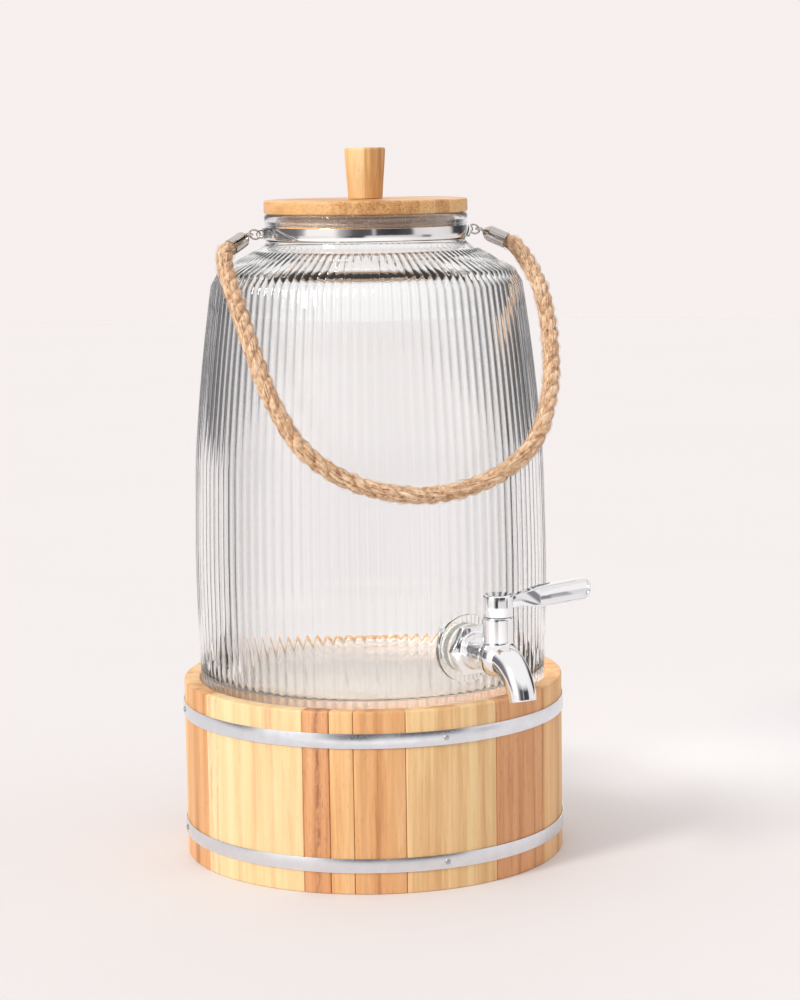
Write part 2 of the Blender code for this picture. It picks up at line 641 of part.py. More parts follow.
def make_neck_band():
    """A steel strap round the neck, with two ears at the back that a small screw pulls together."""
    sweep = [CLAMP_HALF_GAP + (360 - 2 * CLAMP_HALF_GAP) * i / 60 for i in range(61)]
    path = [polar(BAND_RADIUS, degrees) for degrees in sweep]
    start, end = sweep[0], sweep[-1]
    lift = CLAMP_EAR - BAND_RADIUS
    first = (path[0][0] + lift, path[0][1])
    last = (path[-1][0] + lift, path[-1][1])
    path = [first] + path + [last]
    back = outward(HANDLE_AZIMUTH + 90)
    band = upright_strip("neck_band", path, BAND_SPAN[0], lambda i: BAND_SPAN[1], BAND_THICKNESS, steel,
                         axis, back, 1.0)
    half_gap = BAND_RADIUS * math.sin(math.radians(start))
    outer_face = half_gap + BAND_THICKNESS
    clamp = new_empty("clamp_axis", (0, 0, 0), axis, back)
    place = (CLAMP_EAR - 0.0036, 0, sum(BAND_SPAN) / 2)
    across = (math.radians(-90), 0, 0)
    drill = cylinder("clamp_drill", CLAMP_SCREW + GAP, -0.02, 0.02, parent=clamp, location=place,
                     rotation=across, segments=12)
    cut(band, drill)
    head = outer_face + GAP
    outline = ((0.0, head + 0.0018), (0.0019, head + 0.0018), (CLAMP_HEAD, head + 0.0010),
               (CLAMP_HEAD, head), (CLAMP_SCREW, head), (CLAMP_SCREW, -outer_face - CLAMP_TAIL),
               (0.0, -outer_face - CLAMP_TAIL))
    turned("clamp_screw", outline, steel, clamp, place, across, steps=14)
    nut_face = -outer_face - GAP
    nut = cylinder("clamp_nut", CLAMP_NUT, nut_face - CLAMP_NUT_THICKNESS, nut_face, steel, clamp, place,
                   across, segments=6)
    cut(nut, drill)


def make_lug(name, turn):
    """A fan-shaped plate on the band, with a tongue and an eye that point outwards."""
    inner = BAND_RADIUS + BAND_THICKNESS + GAP + 0.0001
    angles = [-LUG_HALF_ARC + 5 * i for i in range(2 * LUG_HALF_ARC // 5 + 1)]
    path = [polar(inner, degrees) for degrees in angles]
    low = BAND_SPAN[0] + 0.0002
    rise = BAND_SPAN[1] - 0.0002 - low

    def top(i):
        share = 1 - abs(angles[i]) / LUG_HALF_ARC
        return low + rise * min(1.0, 0.16 + 1.15 * share)

    lug = upright_strip(name, path, low, top, LUG_THICKNESS, steel, axis, turn, 1.0)
    holder = new_empty(f"{name}_axis", (0, 0, HINGE_HEIGHT), axis, turn)
    across = (math.radians(90), 0, 0)
    start = inner + LUG_THICKNESS / 2
    tongue = box(f"{name}_tongue", (LUG_EYE - start, EYE_PLATE, 2 * (EYE_RADIUS + EYE_RIM)), parent=holder,
                 location=((LUG_EYE + start) / 2, 0, 0))
    eye = cylinder(f"{name}_eye", EYE_RADIUS + EYE_RIM, -EYE_PLATE / 2, EYE_PLATE / 2, parent=holder,
                   location=(LUG_EYE, 0, 0), rotation=across, segments=14)
    hole = cylinder(f"{name}_hole", EYE_RADIUS, -0.002, 0.002, parent=holder, location=(LUG_EYE, 0, 0),
                    rotation=across, segments=12)
    join(lug, tongue)
    join(lug, eye)
    cut(lug, hole)


def make_handle_ring(name, side):
    """A round wire ring through the lug's eye and the ferrule's tab."""
    place = (side * (LUG_EYE + RING_RADIUS), 0, 0)
    torus(name, RING_RADIUS, RING_WIRE, steel, handle_axis, place, (math.radians(RING_TILT), 0, 0))


def make_ferrule(name, side):
    """A rolled metal sleeve on the rope's end, with a slot along it and a tab with an eye."""
    place = (side * TAB_EYE, 0, 0)
    aim = Vector((side * SLEEVE_AIM[0], SLEEVE_AIM[1], SLEEVE_AIM[2])).normalized()
    turn = aim.to_track_quat("Z", "Y").to_euler()
    bore = SLEEVE_RADIUS - 0.0007
    outline = ((0.0, 0.0070), (bore, 0.0070), (bore, SLEEVE_END), (SLEEVE_RADIUS, SLEEVE_END),
               (SLEEVE_RADIUS, 0.0056), (0.0018, SLEEVE_START), (0.0, SLEEVE_START))
    ferrule = turned(name, outline, steel, handle_axis, place, turn, steps=16)
    neck = cylinder(f"{name}_neck", 0.0010, 0.0021, 0.0040, parent=handle_axis, location=place,
                    rotation=turn, segments=10)
    flat = (math.radians(TAB_TILT + 90), 0, 0)
    eye = cylinder(f"{name}_eye", EYE_RADIUS + EYE_RIM, -EYE_PLATE / 2, EYE_PLATE / 2, parent=handle_axis,
                   location=place, rotation=flat, segments=14)
    hole = cylinder(f"{name}_hole", EYE_RADIUS, -0.0014, 0.0014, parent=handle_axis, location=place,
                    rotation=flat, segments=12)
    middle = Vector(place) + aim * 0.0110
    slot = box(f"{name}_slot", (0.0012, 0.0080, 0.0080), parent=handle_axis, rotation=turn,
               location=middle + Vector((0, -0.0045, 0)))
    join(ferrule, eye)
    join(ferrule, neck)
    cut(ferrule, hole)
    cut(ferrule, slot)


def make_rope():
    """The rope handle, a smooth loop from one sleeve's mouth to the other's."""
    aim = Vector(SLEEVE_AIM).normalized()
    eye = Vector((TAB_EYE, 0, 0))
    mouth = eye + aim * (SLEEVE_END + 2 * GAP)
    lead = mouth + aim * ROPE_LEAD
    half = [mouth + (lead - mouth) / 2, lead] + [Vector(point) for point in ROPE_ROUTE]
    mirrored = [Vector((-x, y, z)) for x, y, z in half[-2::-1]]
    line = [mouth] + smooth_line(half + mirrored, ROPE_POINTS) + [Vector((-mouth.x, mouth.y, mouth.z))]
    tube("rope_handle", line, ROPE_RADIUS, handle_axis, sides=3, material=jute)


# ---- build --------------------------------------------------------------------------------------------
clear_scene()
parts = new_collection(COLLECTION)
cutters = new_collection("cutters")

stave_woods = [new_material("acacia_honey", (0.62, 0.38, 0.19), 0.55),
               new_material("acacia_light", (0.72, 0.48, 0.27), 0.55),
               new_material("acacia_brown", (0.50, 0.27, 0.12), 0.55),
               new_material("acacia_amber", (0.66, 0.42, 0.21), 0.55)]
shelf_wood = new_material("shelf_wood", (0.60, 0.42, 0.25), 0.65)
bamboo = new_material("bamboo", (0.62, 0.37, 0.17), 0.45)
glass = new_material("clear_glass", (0.93, 0.95, 0.95), 0.03, transmission=1.0)
galvanised = new_material("galvanised_steel", (0.70, 0.71, 0.73), 0.35, metallic=1.0)
nail_steel = new_material("nail_steel", (0.55, 0.55, 0.56), 0.4, metallic=1.0)
steel = new_material("polished_steel", (0.72, 0.72, 0.73), 0.15, metallic=1.0)
chrome = new_material("chrome", (0.80, 0.80, 0.82), 0.08, metallic=1.0)
silicone = new_material("clear_silicone", (0.88, 0.87, 0.84), 0.4)
rubber = new_material("black_rubber", (0.03, 0.03, 0.03), 0.6)
jute = new_material("jute", (0.52, 0.34, 0.18), 0.9)

facing_out = (math.radians(90), 0, 0)
axis = new_empty("dispenser_axis", (0, AXIS_Y, 0))
tap_axis = new_empty("tap_axis", (0, -BOSS_FACE, TAP_HEIGHT), axis)
lever_axis = new_empty("lever_axis", (0, -STEM_OUT, 0), tap_axis)
lid_axis = new_empty("lid_axis", (0, 0, LID_BOTTOM), axis)
handle_axis = new_empty("handle_axis", (0, 0, HINGE_HEIGHT), axis, outward(HANDLE_AZIMUTH))

make_hoops_and_nails(make_staves())
make_shelf()
make_jar()
make_tap_body()
make_tap_fixings()
make_valve()
make_lever_hub()
make_lever()
make_lid()
make_neck_band()
make_lug("lug_right", outward(HANDLE_AZIMUTH))
make_lug("lug_left", outward(HANDLE_AZIMUTH + 180))
for suffix, side in (("right", 1), ("left", -1)):
    make_handle_ring(f"ring_{suffix}", side)
    make_ferrule(f"ferrule_{suffix}", side)
make_rope()
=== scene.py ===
import json
from math import copysign, cos, degrees, hypot, pi, radians, sin
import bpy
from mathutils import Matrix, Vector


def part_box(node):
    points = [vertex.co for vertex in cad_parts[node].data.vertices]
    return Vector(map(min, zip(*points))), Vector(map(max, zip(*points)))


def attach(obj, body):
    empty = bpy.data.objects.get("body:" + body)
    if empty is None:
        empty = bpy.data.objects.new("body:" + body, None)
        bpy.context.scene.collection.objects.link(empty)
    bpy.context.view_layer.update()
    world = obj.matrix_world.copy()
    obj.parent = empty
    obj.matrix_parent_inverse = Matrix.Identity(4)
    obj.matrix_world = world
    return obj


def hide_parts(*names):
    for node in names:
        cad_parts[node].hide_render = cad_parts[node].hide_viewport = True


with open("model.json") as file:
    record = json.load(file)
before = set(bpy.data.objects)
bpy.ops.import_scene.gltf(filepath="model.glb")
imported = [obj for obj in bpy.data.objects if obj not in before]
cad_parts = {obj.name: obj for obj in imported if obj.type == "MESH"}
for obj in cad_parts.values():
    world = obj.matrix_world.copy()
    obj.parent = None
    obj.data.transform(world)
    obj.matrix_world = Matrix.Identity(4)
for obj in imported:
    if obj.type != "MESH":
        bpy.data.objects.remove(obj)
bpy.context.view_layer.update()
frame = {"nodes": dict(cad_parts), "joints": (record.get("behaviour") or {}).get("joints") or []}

from types import SimpleNamespace

import bmesh
import bpy
from mathutils import Matrix, Vector

print("dispenser: frame loaded,", len(frame["nodes"]), "nodes")


def moved(x=0, y=0, z=0):
    return Matrix.Translation((x, y, z))


def rolled(angle, axis):
    return Matrix.Rotation(radians(angle), 4, axis)


def outward(azimuth):
    return radians(azimuth - 90)          # turn about Z from +X; azimuth 0 is the tap


# places shared by the pieces, all read from the frame
joints = {joint["name"]: joint for joint in frame["joints"]}
hoopLow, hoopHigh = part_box("hoop_upper")
axisY = (hoopLow.y + hoopHigh.y) / 2
hingeZ = joints["handle_swing"]["pos_m"][2]
leverPlace = Vector(joints["lever_turn"]["pos_m"])
washerLow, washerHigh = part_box("outer_washer")
washerGap = 0.0003                        # the washer starts just off the glass pad
tapHeight = (washerLow.z + washerHigh.z) / 2
padFace = washerHigh.y + washerGap
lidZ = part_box("lid_disc")[0].z
handleAzimuth = 76                        # degrees from the tap round to the right-hand lug
upright = Vector((0, 0, 1))

atAxis = moved(0, axisY)
atTap = moved(0, padFace, tapHeight) @ rolled(90, "X")     # its Z points out along the tap
atStem = moved(leverPlace.x, leverPlace.y, tapHeight)
atLid = moved(0, axisY, lidZ)
atHandle = moved(0, axisY, hingeZ) @ rolled(handleAzimuth - 90, "Z")


# mesh helpers
def smoothLine(points, count, fineness=40):
    # even steps along a smooth curve through the points
    points = [Vector(point) for point in points]
    ends = [2 * points[0] - points[1]] + points + [2 * points[-1] - points[-2]]
    fine = []
    for before, start, end, after in zip(ends, ends[1:], ends[2:], ends[3:]):
        for i in range(fineness):
            t = i / fineness
            fine.append(0.5 * (2 * start + (end - before) * t + (2 * before - 5 * start + 4 * end - after) * t ** 2
                               + (3 * start - before - 3 * end + after) * t ** 3))
    fine.append(points[-1])
    reach = [0.0]
    for first, second in zip(fine, fine[1:]):
        reach.append(reach[-1] + (second - first).length)
    line, j = [], 0
    for i in range(count):
        target = reach[-1] * i / (count - 1)
        while j < len(reach) - 2 and reach[j + 1] < target:
            j += 1
        line.append(fine[j].lerp(fine[j + 1], (target - reach[j]) / (reach[j + 1] - reach[j])))
    return line


def circle(radius, count, middle=0.0):
    turns = [2 * pi * i / count for i in range(count)]
    return [(middle + radius * cos(a), radius * sin(a)) for a in turns]


def rounded(corners, steps=4, closed=False):
    # (x, y, radius) corners of an outline, each turned into a short arc
    line = []
    for i, (x, y, radius) in enumerate(corners):
        here = Vector((x, y))
        if radius == 0 or (not closed and i in (0, len(corners) - 1)):
            line.append((x, y))
            continue
        before = Vector(corners[i - 1][:2]) - here
        after = Vector(corners[(i + 1) % len(corners)][:2]) - here
        start = here + before.normalized() * min(radius, before.length * 0.45)
        end = here + after.normalized() * min(radius, after.length * 0.45)
        for j in range(steps + 1):
            t = j / steps
            point = (1 - t) ** 2 * start + 2 * t * (1 - t) * here + t ** 2 * end
            line.append((point.x, point.y))
    return line


def turned(outline, steps, closed=False):
    # spins (radius, height) points about Z; a point on the axis becomes one vertex
    bm = bmesh.new()
    rings = []
    for radius, height in outline:
        if radius < 1e-6:
            rings.append([bm.verts.new((0, 0, height))] * steps)
        else:
            rings.append([bm.verts.new((x, y, height)) for x, y in circle(radius, steps)])
    for low, high in zip(rings, rings[1:] + rings[:1] if closed else rings[1:]):
        for i in range(steps):
            j = (i + 1) % steps
            corners = list(dict.fromkeys((low[i], low[j], high[j], high[i])))
            if len(corners) > 2:
                bm.faces.new(corners)
    bmesh.ops.recalc_face_normals(bm, faces=bm.faces)
    return bm


def swept(line, frames, section):
    # carries a closed (side, up) section along points with their (side, up) directions, and caps both ends
    bm = bmesh.new()
    loops = []
    for i, (point, (side, up)) in enumerate(zip(line, frames)):
        shape = section(i) if callable(section) else section
        loops.append([bm.verts.new(point + side * x + up * y) for x, y in shape])
    for low, high in zip(loops, loops[1:]):
        for i in range(len(low)):
            j = (i + 1) % len(low)
            bm.faces.new((low[i], low[j], high[j], high[i]))
    bm.faces.new(loops[0])
    bm.faces.new(loops[-1])
    bmesh.ops.recalc_face_normals(bm, faces=bm.faces)
    return bm


def smoothed(mesh, sharp):
    mesh.shade_smooth()
    mesh.set_sharp_from_angle(angle=radians(sharp))
    return mesh


def addObject(name, data):
    obj = bpy.data.objects.new(name, data)
    bpy.context.scene.collection.objects.link(obj)
    return obj


def built(name, bm, place=None, sharp=40):
    if place:
        bm.transform(place)
    mesh = bpy.data.meshes.new(name)
    bm.to_mesh(mesh)
    bm.free()
    return addObject(name, smoothed(mesh, sharp))


def lathed(name, outline, steps, place=None, closed=False, sharp=40):
    return built(name, turned(outline, steps, closed), place, sharp)


def boxed(name, sizes, place):
    bm = bmesh.new()
    bmesh.ops.create_cube(bm, size=1.0, matrix=Matrix.Diagonal((*sizes, 1)))
    return built(name, bm, place)


def settled(obj, sharp=40):
    # what the modifiers make, as a plain mesh under the same name
    bpy.context.view_layer.update()
    graph = bpy.context.evaluated_depsgraph_get()
    mesh = bpy.data.meshes.new_from_object(obj.evaluated_get(graph), depsgraph=graph)
    obj.modifiers.clear()
    if obj.type == "MESH":
        obj.data = mesh
    else:
        name = obj.name
        bpy.data.objects.remove(obj)
        obj = addObject(name, mesh)
    smoothed(mesh, sharp)
    return obj


def combined(obj, tools, operation, sharp=40):
    for tool in tools:
        step = obj.modifiers.new("combine", "BOOLEAN")
        step.operation = operation
        step.solver = "EXACT"
        step.object = tool
    obj = settled(obj, sharp)
    for tool in tools:
        bpy.data.objects.remove(tool)
    return obj


def bevelled(obj, width, segments=3, angle=35):
    step = obj.modifiers.new("bevel", "BEVEL")
    step.width = width
    step.segments = segments
    step.limit_method = "ANGLE"
    step.angle_limit = radians(angle)
    return settled(obj)


def painted(obj, material):
    obj.data.materials.clear()
    obj.data.materials.append(material)


def finished(obj, body, material, nodes=None):
    # it stands for the node it is named after, unless nodes are given
    nodes = nodes or [obj.name.removesuffix("_visual")]
    painted(obj, material)
    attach(obj, body)
    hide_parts(*nodes)
    return obj


def turnedPiece(node, corners, place, body, material, steps=96, arc=4, closed=True):
    piece = lathed(node + "_visual", rounded(corners, arc, closed), steps, place, closed)
    return finished(piece, body, material)


# node helpers
def feed(tree, node, inputs):
    # a socket is linked; a number or colour is set on the node's own input
    for key, value in inputs.items():
        if isinstance(value, bpy.types.NodeSocket):
            tree.links.new(value, node.inputs[key])
        else:
            node.inputs[key].default_value = value
    return node


def addNode(tree, kind, inputs=None, **settings):
    made = tree.nodes.new(kind)
    for key, value in settings.items():
        setattr(made, key, value)
    return feed(tree, made, inputs or {})


def result(tree, kind, inputs=None, **settings):
    return addNode(tree, kind, inputs, **settings).outputs[0]


def math2(tree, operation, first, second=0.0):
    return result(tree, "ShaderNodeMath", {0: first, 1: second}, operation=operation)


def plus(tree, first, second):
    return math2(tree, "ADD", first, second)


def minus(tree, first, second):
    return math2(tree, "SUBTRACT", first, second)


def times(tree, first, second):
    return math2(tree, "MULTIPLY", first, second)


def divided(tree, first, second):
    return math2(tree, "DIVIDE", first, second)


def vector2(tree, operation, first, second=(0, 0, 0)):
    return result(tree, "ShaderNodeVectorMath", {0: first, 1: second}, operation=operation)


def scaled(tree, vector, factor):
    return result(tree, "ShaderNodeVectorMath", {0: vector, 3: factor}, operation="SCALE")


def vectorOf(tree, x=0.0, y=0.0, z=0.0):
    return result(tree, "ShaderNodeCombineXYZ", {0: x, 1: y, 2: z})


def partsOf(tree, vector):
    return addNode(tree, "ShaderNodeSeparateXYZ", {0: vector}).outputs


def noise(tree, vector, scale, detail=2.0, rough=0.5, output=0):
    return addNode(tree, "ShaderNodeTexNoise", {"Vector": vector, "Scale": scale, "Detail": detail,
                                                "Roughness": rough}).outputs[output]


def stretched(tree, vector, scale):
    return result(tree, "ShaderNodeMapping", {0: vector, "Scale": scale})


def ranged(tree, value, low, high, toLow, toHigh, kind="LINEAR"):
    return result(tree, "ShaderNodeMapRange", {0: value, 1: low, 2: high, 3: toLow, 4: toHigh},
                  interpolation_type=kind)


def newTree(name, **sockets):
    # an empty Geometry Nodes tree with named inputs, listed by kind
    tree = bpy.data.node_groups.new(name, "GeometryNodeTree")
    tree.interface.new_socket("Geometry", in_out="INPUT", socket_type="NodeSocketGeometry")
    for kind, names in sockets.items():
        for socketName in names:
            tree.interface.new_socket(socketName, in_out="INPUT", socket_type="NodeSocket" + kind)
    tree.interface.new_socket("Geometry", in_out="OUTPUT", socket_type="NodeSocketGeometry")
    return tree, tree.nodes.new("NodeGroupInput").outputs


def noted(tree, geometry, name, value, kind="FLOAT"):
    return result(tree, "GeometryNodeStoreNamedAttribute", {"Geometry": geometry, "Name": name, "Value": value},
                  data_type=kind)


def recalled(tree, name, kind="FLOAT"):
    return result(tree, "GeometryNodeInputNamedAttribute", {"Name": name}, data_type=kind)


def shifted(tree, geometry, offset):
    return result(tree, "GeometryNodeSetPosition", {"Geometry": geometry, "Offset": offset})


def endTree(tree, geometry, material):
    real = result(tree, "GeometryNodeRealizeInstances", {0: geometry})
    coated = result(tree, "GeometryNodeSetMaterial", {"Geometry": real, "Material": material})
    addNode(tree, "NodeGroupOutput", {0: coated})
    return tree


def grown(obj, tree, values, sharp=40):
    # runs the tree with its inputs set by identifier, and keeps the result as a plain mesh
    step = obj.modifiers.new(tree.name, "NODES")
    step.node_group = tree
    for item in tree.interface.items_tree:
        if item.in_out == "INPUT" and item.name in values:
            step[item.identifier] = values[item.name]
    return settled(obj, sharp)


# camera
cameraView = {"distance": 1.5316, "azimuth": -31.0, "height": 0.422, "turn": -31.667, "tilt": 82.10,
              "roll": -0.824, "lens": 93.06, "sensor": 36.0, "nearest": 0.05, "farthest": 60}


def makeCamera():
    s = SimpleNamespace(**cameraView)
    camera = addObject("camera", bpy.data.cameras.new("camera"))
    camera.data.lens = s.lens
    camera.data.sensor_width = s.sensor
    camera.data.clip_start = s.nearest
    camera.data.clip_end = s.farthest
    turn = radians(s.azimuth)
    camera.matrix_world = (moved(s.distance * sin(turn), axisY - s.distance * cos(turn), s.height)
                           @ rolled(s.turn, "Z") @ rolled(s.tilt, "X") @ rolled(s.roll, "Z"))
    bpy.context.scene.camera = camera


makeCamera()


# finishes
def newMaterial(name, roughness=0.5, metallic=0.0):
    material = bpy.data.materials.new(name)
    material.use_nodes = True
    tree = material.node_tree
    shader = feed(tree, tree.nodes["Principled BSDF"], {"Roughness": roughness, "Metallic": metallic})
    return material, tree, shader


def ramp(tree, factor, stops):
    made = addNode(tree, "ShaderNodeValToRGB", {0: factor})
    while len(made.color_ramp.elements) < len(stops):
        made.color_ramp.elements.new(0.5)
    for element, (place, color) in zip(made.color_ramp.elements, stops):
        element.position = place
        element.color = (*color, 1)
    return made.outputs[0]


def mixed(tree, factor, first, second):
    return addNode(tree, "ShaderNodeMix", {0: factor, 6: first, 7: second}, data_type="RGBA").outputs[2]


def bumped(tree, height, strength, distance):
    return result(tree, "ShaderNodeBump", {"Height": height, "Strength": strength, "Distance": distance})


def seen(tree, name="Object"):
    return addNode(tree, "ShaderNodeTexCoord").outputs[name]


def ownValue(tree, name):
    return addNode(tree, "ShaderNodeAttribute", attribute_name=name).outputs["Fac"]


def woodFinish(name, dark, middle, light, grain=(1, 1, 0.045), streak=0.5, hearts=()):
    # long grain along Z; each plank shifts the pattern and its tone by its own attributes; on the knob the tone shift
    # is painted light, paler on its lit half and darker on its shaded half
    material, tree, shader = newMaterial(name)
    seed = ownValue(tree, "plankSeed")
    shade = ownValue(tree, "plankShade")
    place = vector2(tree, "ADD", seen(tree), vectorOf(tree, seed, times(tree, seed, 1.7), seed))
    long = stretched(tree, place, grain)
    warp = vector2(tree, "ADD", long, vector2(tree, "MULTIPLY", noise(tree, long, 60, 2, 0.5, 1), (0.006,) * 3))
    bands = noise(tree, warp, 95, 2.5, 0.55)
    fine = noise(tree, warp, 620, 3, 0.6)
    tone = plus(tree, plus(tree, times(tree, bands, 0.9), times(tree, fine, 0.35)), shade)
    color = ramp(tree, tone, ((0.36, dark), (0.6, middle), (0.86, light)))
    pores = noise(tree, stretched(tree, place, (1, 1, 0.11)), 1500, 1, 0.5)
    poreMask = ranged(tree, pores, 0.62, 0.72, 0.0, 0.35 * streak)
    color = mixed(tree, poreMask, color, (*[part * 0.45 for part in dark], 1))
    rays = noise(tree, stretched(tree, place, (1, 1, 0.02)), 240, 2, 0.5)
    color = mixed(tree, ranged(tree, rays, 0.6, 0.75, 0.0, streak * 0.5), color, (*dark, 1))
    if hearts:
        x, y, z = partsOf(tree, seen(tree))
        turn = math2(tree, "ARCTAN2", minus(tree, y, axisY), x)
        bend = times(tree, minus(tree, noise(tree, place, 30, 3, 0.6), 0.5), 0.05)
        speck = ranged(tree, noise(tree, stretched(tree, place, (1, 1, 0.3)), 420, 3, 0.7), 0.42, 0.6, 0.25, 1.0)
        for azimuth, width, strength in hearts:
            # a dark streak up the stave, this many degrees round from the tap
            away = math2(tree, "ABSOLUTE", minus(tree, plus(tree, turn, bend), outward(azimuth)))
            mask = ranged(tree, away, 0.0, radians(width), strength, 0.0)
            color = mixed(tree, times(tree, mask, speck), color, (*dark, 1))
    feed(tree, shader, {"Base Color": color, "Roughness": ranged(tree, fine, 0.3, 0.7, 0.42, 0.62),
                        "Normal": bumped(tree, minus(tree, fine, times(tree, poreMask, 1.5)), 0.35, 0.0004)})
    return material


def metalFinish(name, color, roughness, grain=(1, 1, 1), scale=900, bump=0.05, spread=0.05, tarnish=0.0):
    material, tree, shader = newMaterial(name, roughness, 1.0)
    place = stretched(tree, seen(tree), grain)
    wear = noise(tree, place, scale, 3, 0.6)
    cloud = noise(tree, place, scale * 0.12, 2, 0.5)
    dull = tuple(part * (1 - tarnish) for part in color)
    feed(tree, shader, {"Base Color": ramp(tree, cloud, ((0.3, dull), (0.7, color))),
                        "Roughness": ranged(tree, wear, 0.3, 0.7, max(0.02, roughness - spread),
                                            roughness + spread),
                        "Normal": bumped(tree, wear, bump, 0.0002)})
    return material


def bambooFinish(name, dark, middle, light, stripWidth=0.0115, endGrain=0.85):
    # laminated strips across X, fibres along Y, and dotted vessel ends where the strips are cut
    material, tree, shader = newMaterial(name, 0.42)
    place = seen(tree)
    strip = math2(tree, "FLOOR", divided(tree, partsOf(tree, place)[0], stripWidth))
    tone = addNode(tree, "ShaderNodeTexWhiteNoise", {"W": strip}, noise_dimensions="1D").outputs["Value"]
    fibre = noise(tree, stretched(tree, place, (1, 0.03, 1)), 900, 3, 0.6)
    mottled = noise(tree, stretched(tree, place, (1, 0.25, 1)), 130, 3, 0.6)
    whole = plus(tree, times(tree, tone, 0.28), times(tree, fibre, 0.45))
    whole = plus(tree, whole, times(tree, mottled, 0.35))
    color = ramp(tree, whole, ((0.32, dark), (0.52, middle), (0.75, light)))
    facing = partsOf(tree, addNode(tree, "ShaderNodeNewGeometry").outputs["Normal"])
    cutEnd = ranged(tree, math2(tree, "ABSOLUTE", facing[1]), 0.35, 0.75, 0.0, 1.0)
    cell = addNode(tree, "ShaderNodeTexVoronoi", {"Vector": stretched(tree, place, (1, 0, 1)), "Scale": 1150,
                                                  "Randomness": 0.75})
    dots = times(tree, ranged(tree, cell.outputs["Distance"], 0.12, 0.42, endGrain, 0.0), cutEnd)
    feed(tree, shader, {"Base Color": mixed(tree, dots, color, (*[part * 0.4 for part in dark], 1)),
                        "Roughness": ranged(tree, fibre, 0.3, 0.7, 0.34, 0.5),
                        "Normal": bumped(tree, minus(tree, fibre, dots), 0.25, 0.0003)})
    return material


def glassFinish(name, footHeight, footGrind=0.0015):
    material, tree, shader = newMaterial(name, 0.0)
    wave = noise(tree, seen(tree), 45, 2, 0.5)
    # the foot it stands on is ground, the rest is fire polished
    ground = ranged(tree, partsOf(tree, seen(tree))[2], footHeight, footHeight + footGrind, 0.55, 0.0)
    polish = ranged(tree, wave, 0.3, 0.7, 0.0, 0.02)
    feed(tree, shader, {"Base Color": (0.985, 0.99, 0.99, 1), "Transmission Weight": 1.0, "IOR": 1.5,
                        "Roughness": math2(tree, "MAXIMUM", ground, polish),
                        "Normal": bumped(tree, wave, 0.02, 0.0004)})
    # light goes straight through for shadows, as it does past thin clear glass
    clear = result(tree, "ShaderNodeBsdfTransparent", {0: (0.93, 0.94, 0.95, 1)})
    path = addNode(tree, "ShaderNodeLightPath")
    both = result(tree, "ShaderNodeMixShader", {0: path.outputs["Is Shadow Ray"], 1: shader.outputs[0], 2: clear})
    feed(tree, tree.nodes["Material Output"], {0: both})
    return material


def siliconeFinish(name, dull, bright, clearness):
    material, tree, shader = newMaterial(name, 0.3)
    cloud = noise(tree, seen(tree), 300, 2, 0.5)
    feed(tree, shader, {"Base Color": ramp(tree, cloud, ((0.3, dull), (0.7, bright))),
                        "Transmission Weight": clearness, "IOR": 1.41,
                        "Roughness": ranged(tree, cloud, 0.3, 0.7, 0.18, 0.3),
                        "Normal": bumped(tree, noise(tree, seen(tree), 1800, 2, 0.5), 0.1, 0.0002)})
    return material


def rubberFinish(name):
    material, tree, shader = newMaterial(name, 0.6)
    grit = noise(tree, seen(tree), 2500, 2, 0.6)
    feed(tree, shader, {"Base Color": ramp(tree, grit, ((0.3, (0.02, 0.02, 0.02)), (0.7, (0.05, 0.05, 0.05)))),
                        "Roughness": ranged(tree, grit, 0.3, 0.7, 0.5, 0.7),
                        "Normal": bumped(tree, grit, 0.2, 0.0002)})
    return material


def juteFinish(name):
    # fibres run along each strand: the pattern reads how far round and how far along it is
    material, tree, shader = newMaterial(name, 0.85)
    place = vectorOf(tree, times(tree, ownValue(tree, "alongStrand"), 60), ownValue(tree, "aroundStrand"),
                     ownValue(tree, "strandDepth"))
    fibre = noise(tree, stretched(tree, place, (0.35, 0.95, 1)), 3.2, 4, 0.75)
    patch = noise(tree, seen(tree), 420, 3, 0.6)
    tone = plus(tree, times(tree, fibre, 0.75), times(tree, patch, 0.35))
    # the ramp runs from dark brown to near white on the same fibre pattern that drives the bump, so besides the
    # jute's own mottling it paints crease shade in the bump's hollows and painted highlights on its crests
    color = ramp(tree, tone, ((0.42, (0.20, 0.085, 0.035)), (0.49, (0.60, 0.325, 0.160)),
                              (0.56, (0.88, 0.560, 0.330)), (0.64, (1.0, 0.82, 0.60))))
    feed(tree, shader, {"Base Color": color, "Roughness": ranged(tree, fibre, 0.3, 0.7, 0.7, 0.95),
                        "Sheen Weight": 0.25, "Sheen Roughness": 0.5,
                        "Normal": bumped(tree, fibre, 1.0, 0.0011)})
    return material


honeyWood = woodFinish("honeyWood", (0.44, 0.19, 0.07), (0.76, 0.38, 0.155), (0.90, 0.55, 0.27))
lightWood = woodFinish("lightWood", (0.72, 0.40, 0.17), (0.93, 0.64, 0.32), (0.98, 0.78, 0.46), streak=0.3)
brownWood = woodFinish("brownWood", (0.42, 0.16, 0.07), (0.74, 0.35, 0.15), (0.88, 0.50, 0.25), streak=0.8)
amberWood = woodFinish("amberWood", (0.60, 0.28, 0.11), (0.86, 0.49, 0.21), (0.95, 0.66, 0.35), streak=0.4)
streakyWood = woodFinish("streakyWood", (0.74, 0.36, 0.20), (0.93, 0.64, 0.32), (0.98, 0.78, 0.46), streak=0.3,
                         hearts=((-88, 1.6, 0.7), (-84.5, 1.0, 0.6), (-74, 1.2, 0.3), (-62, 1.4, 0.25)))
heartWood = woodFinish("heartWood", (0.36, 0.14, 0.065), (0.74, 0.35, 0.15), (0.88, 0.50, 0.25), streak=0.9,
                       hearts=((-47.7, 1.5, 1.0),))
shelfWood = woodFinish("shelfWood", (0.60, 0.42, 0.30), (0.82, 0.66, 0.52), (0.90, 0.78, 0.66),
                       grain=(1, 0.045, 1), streak=0.4)
bamboo = bambooFinish("bambooBoard", (0.46, 0.20, 0.065), (0.78, 0.43, 0.17), (0.92, 0.60, 0.30))
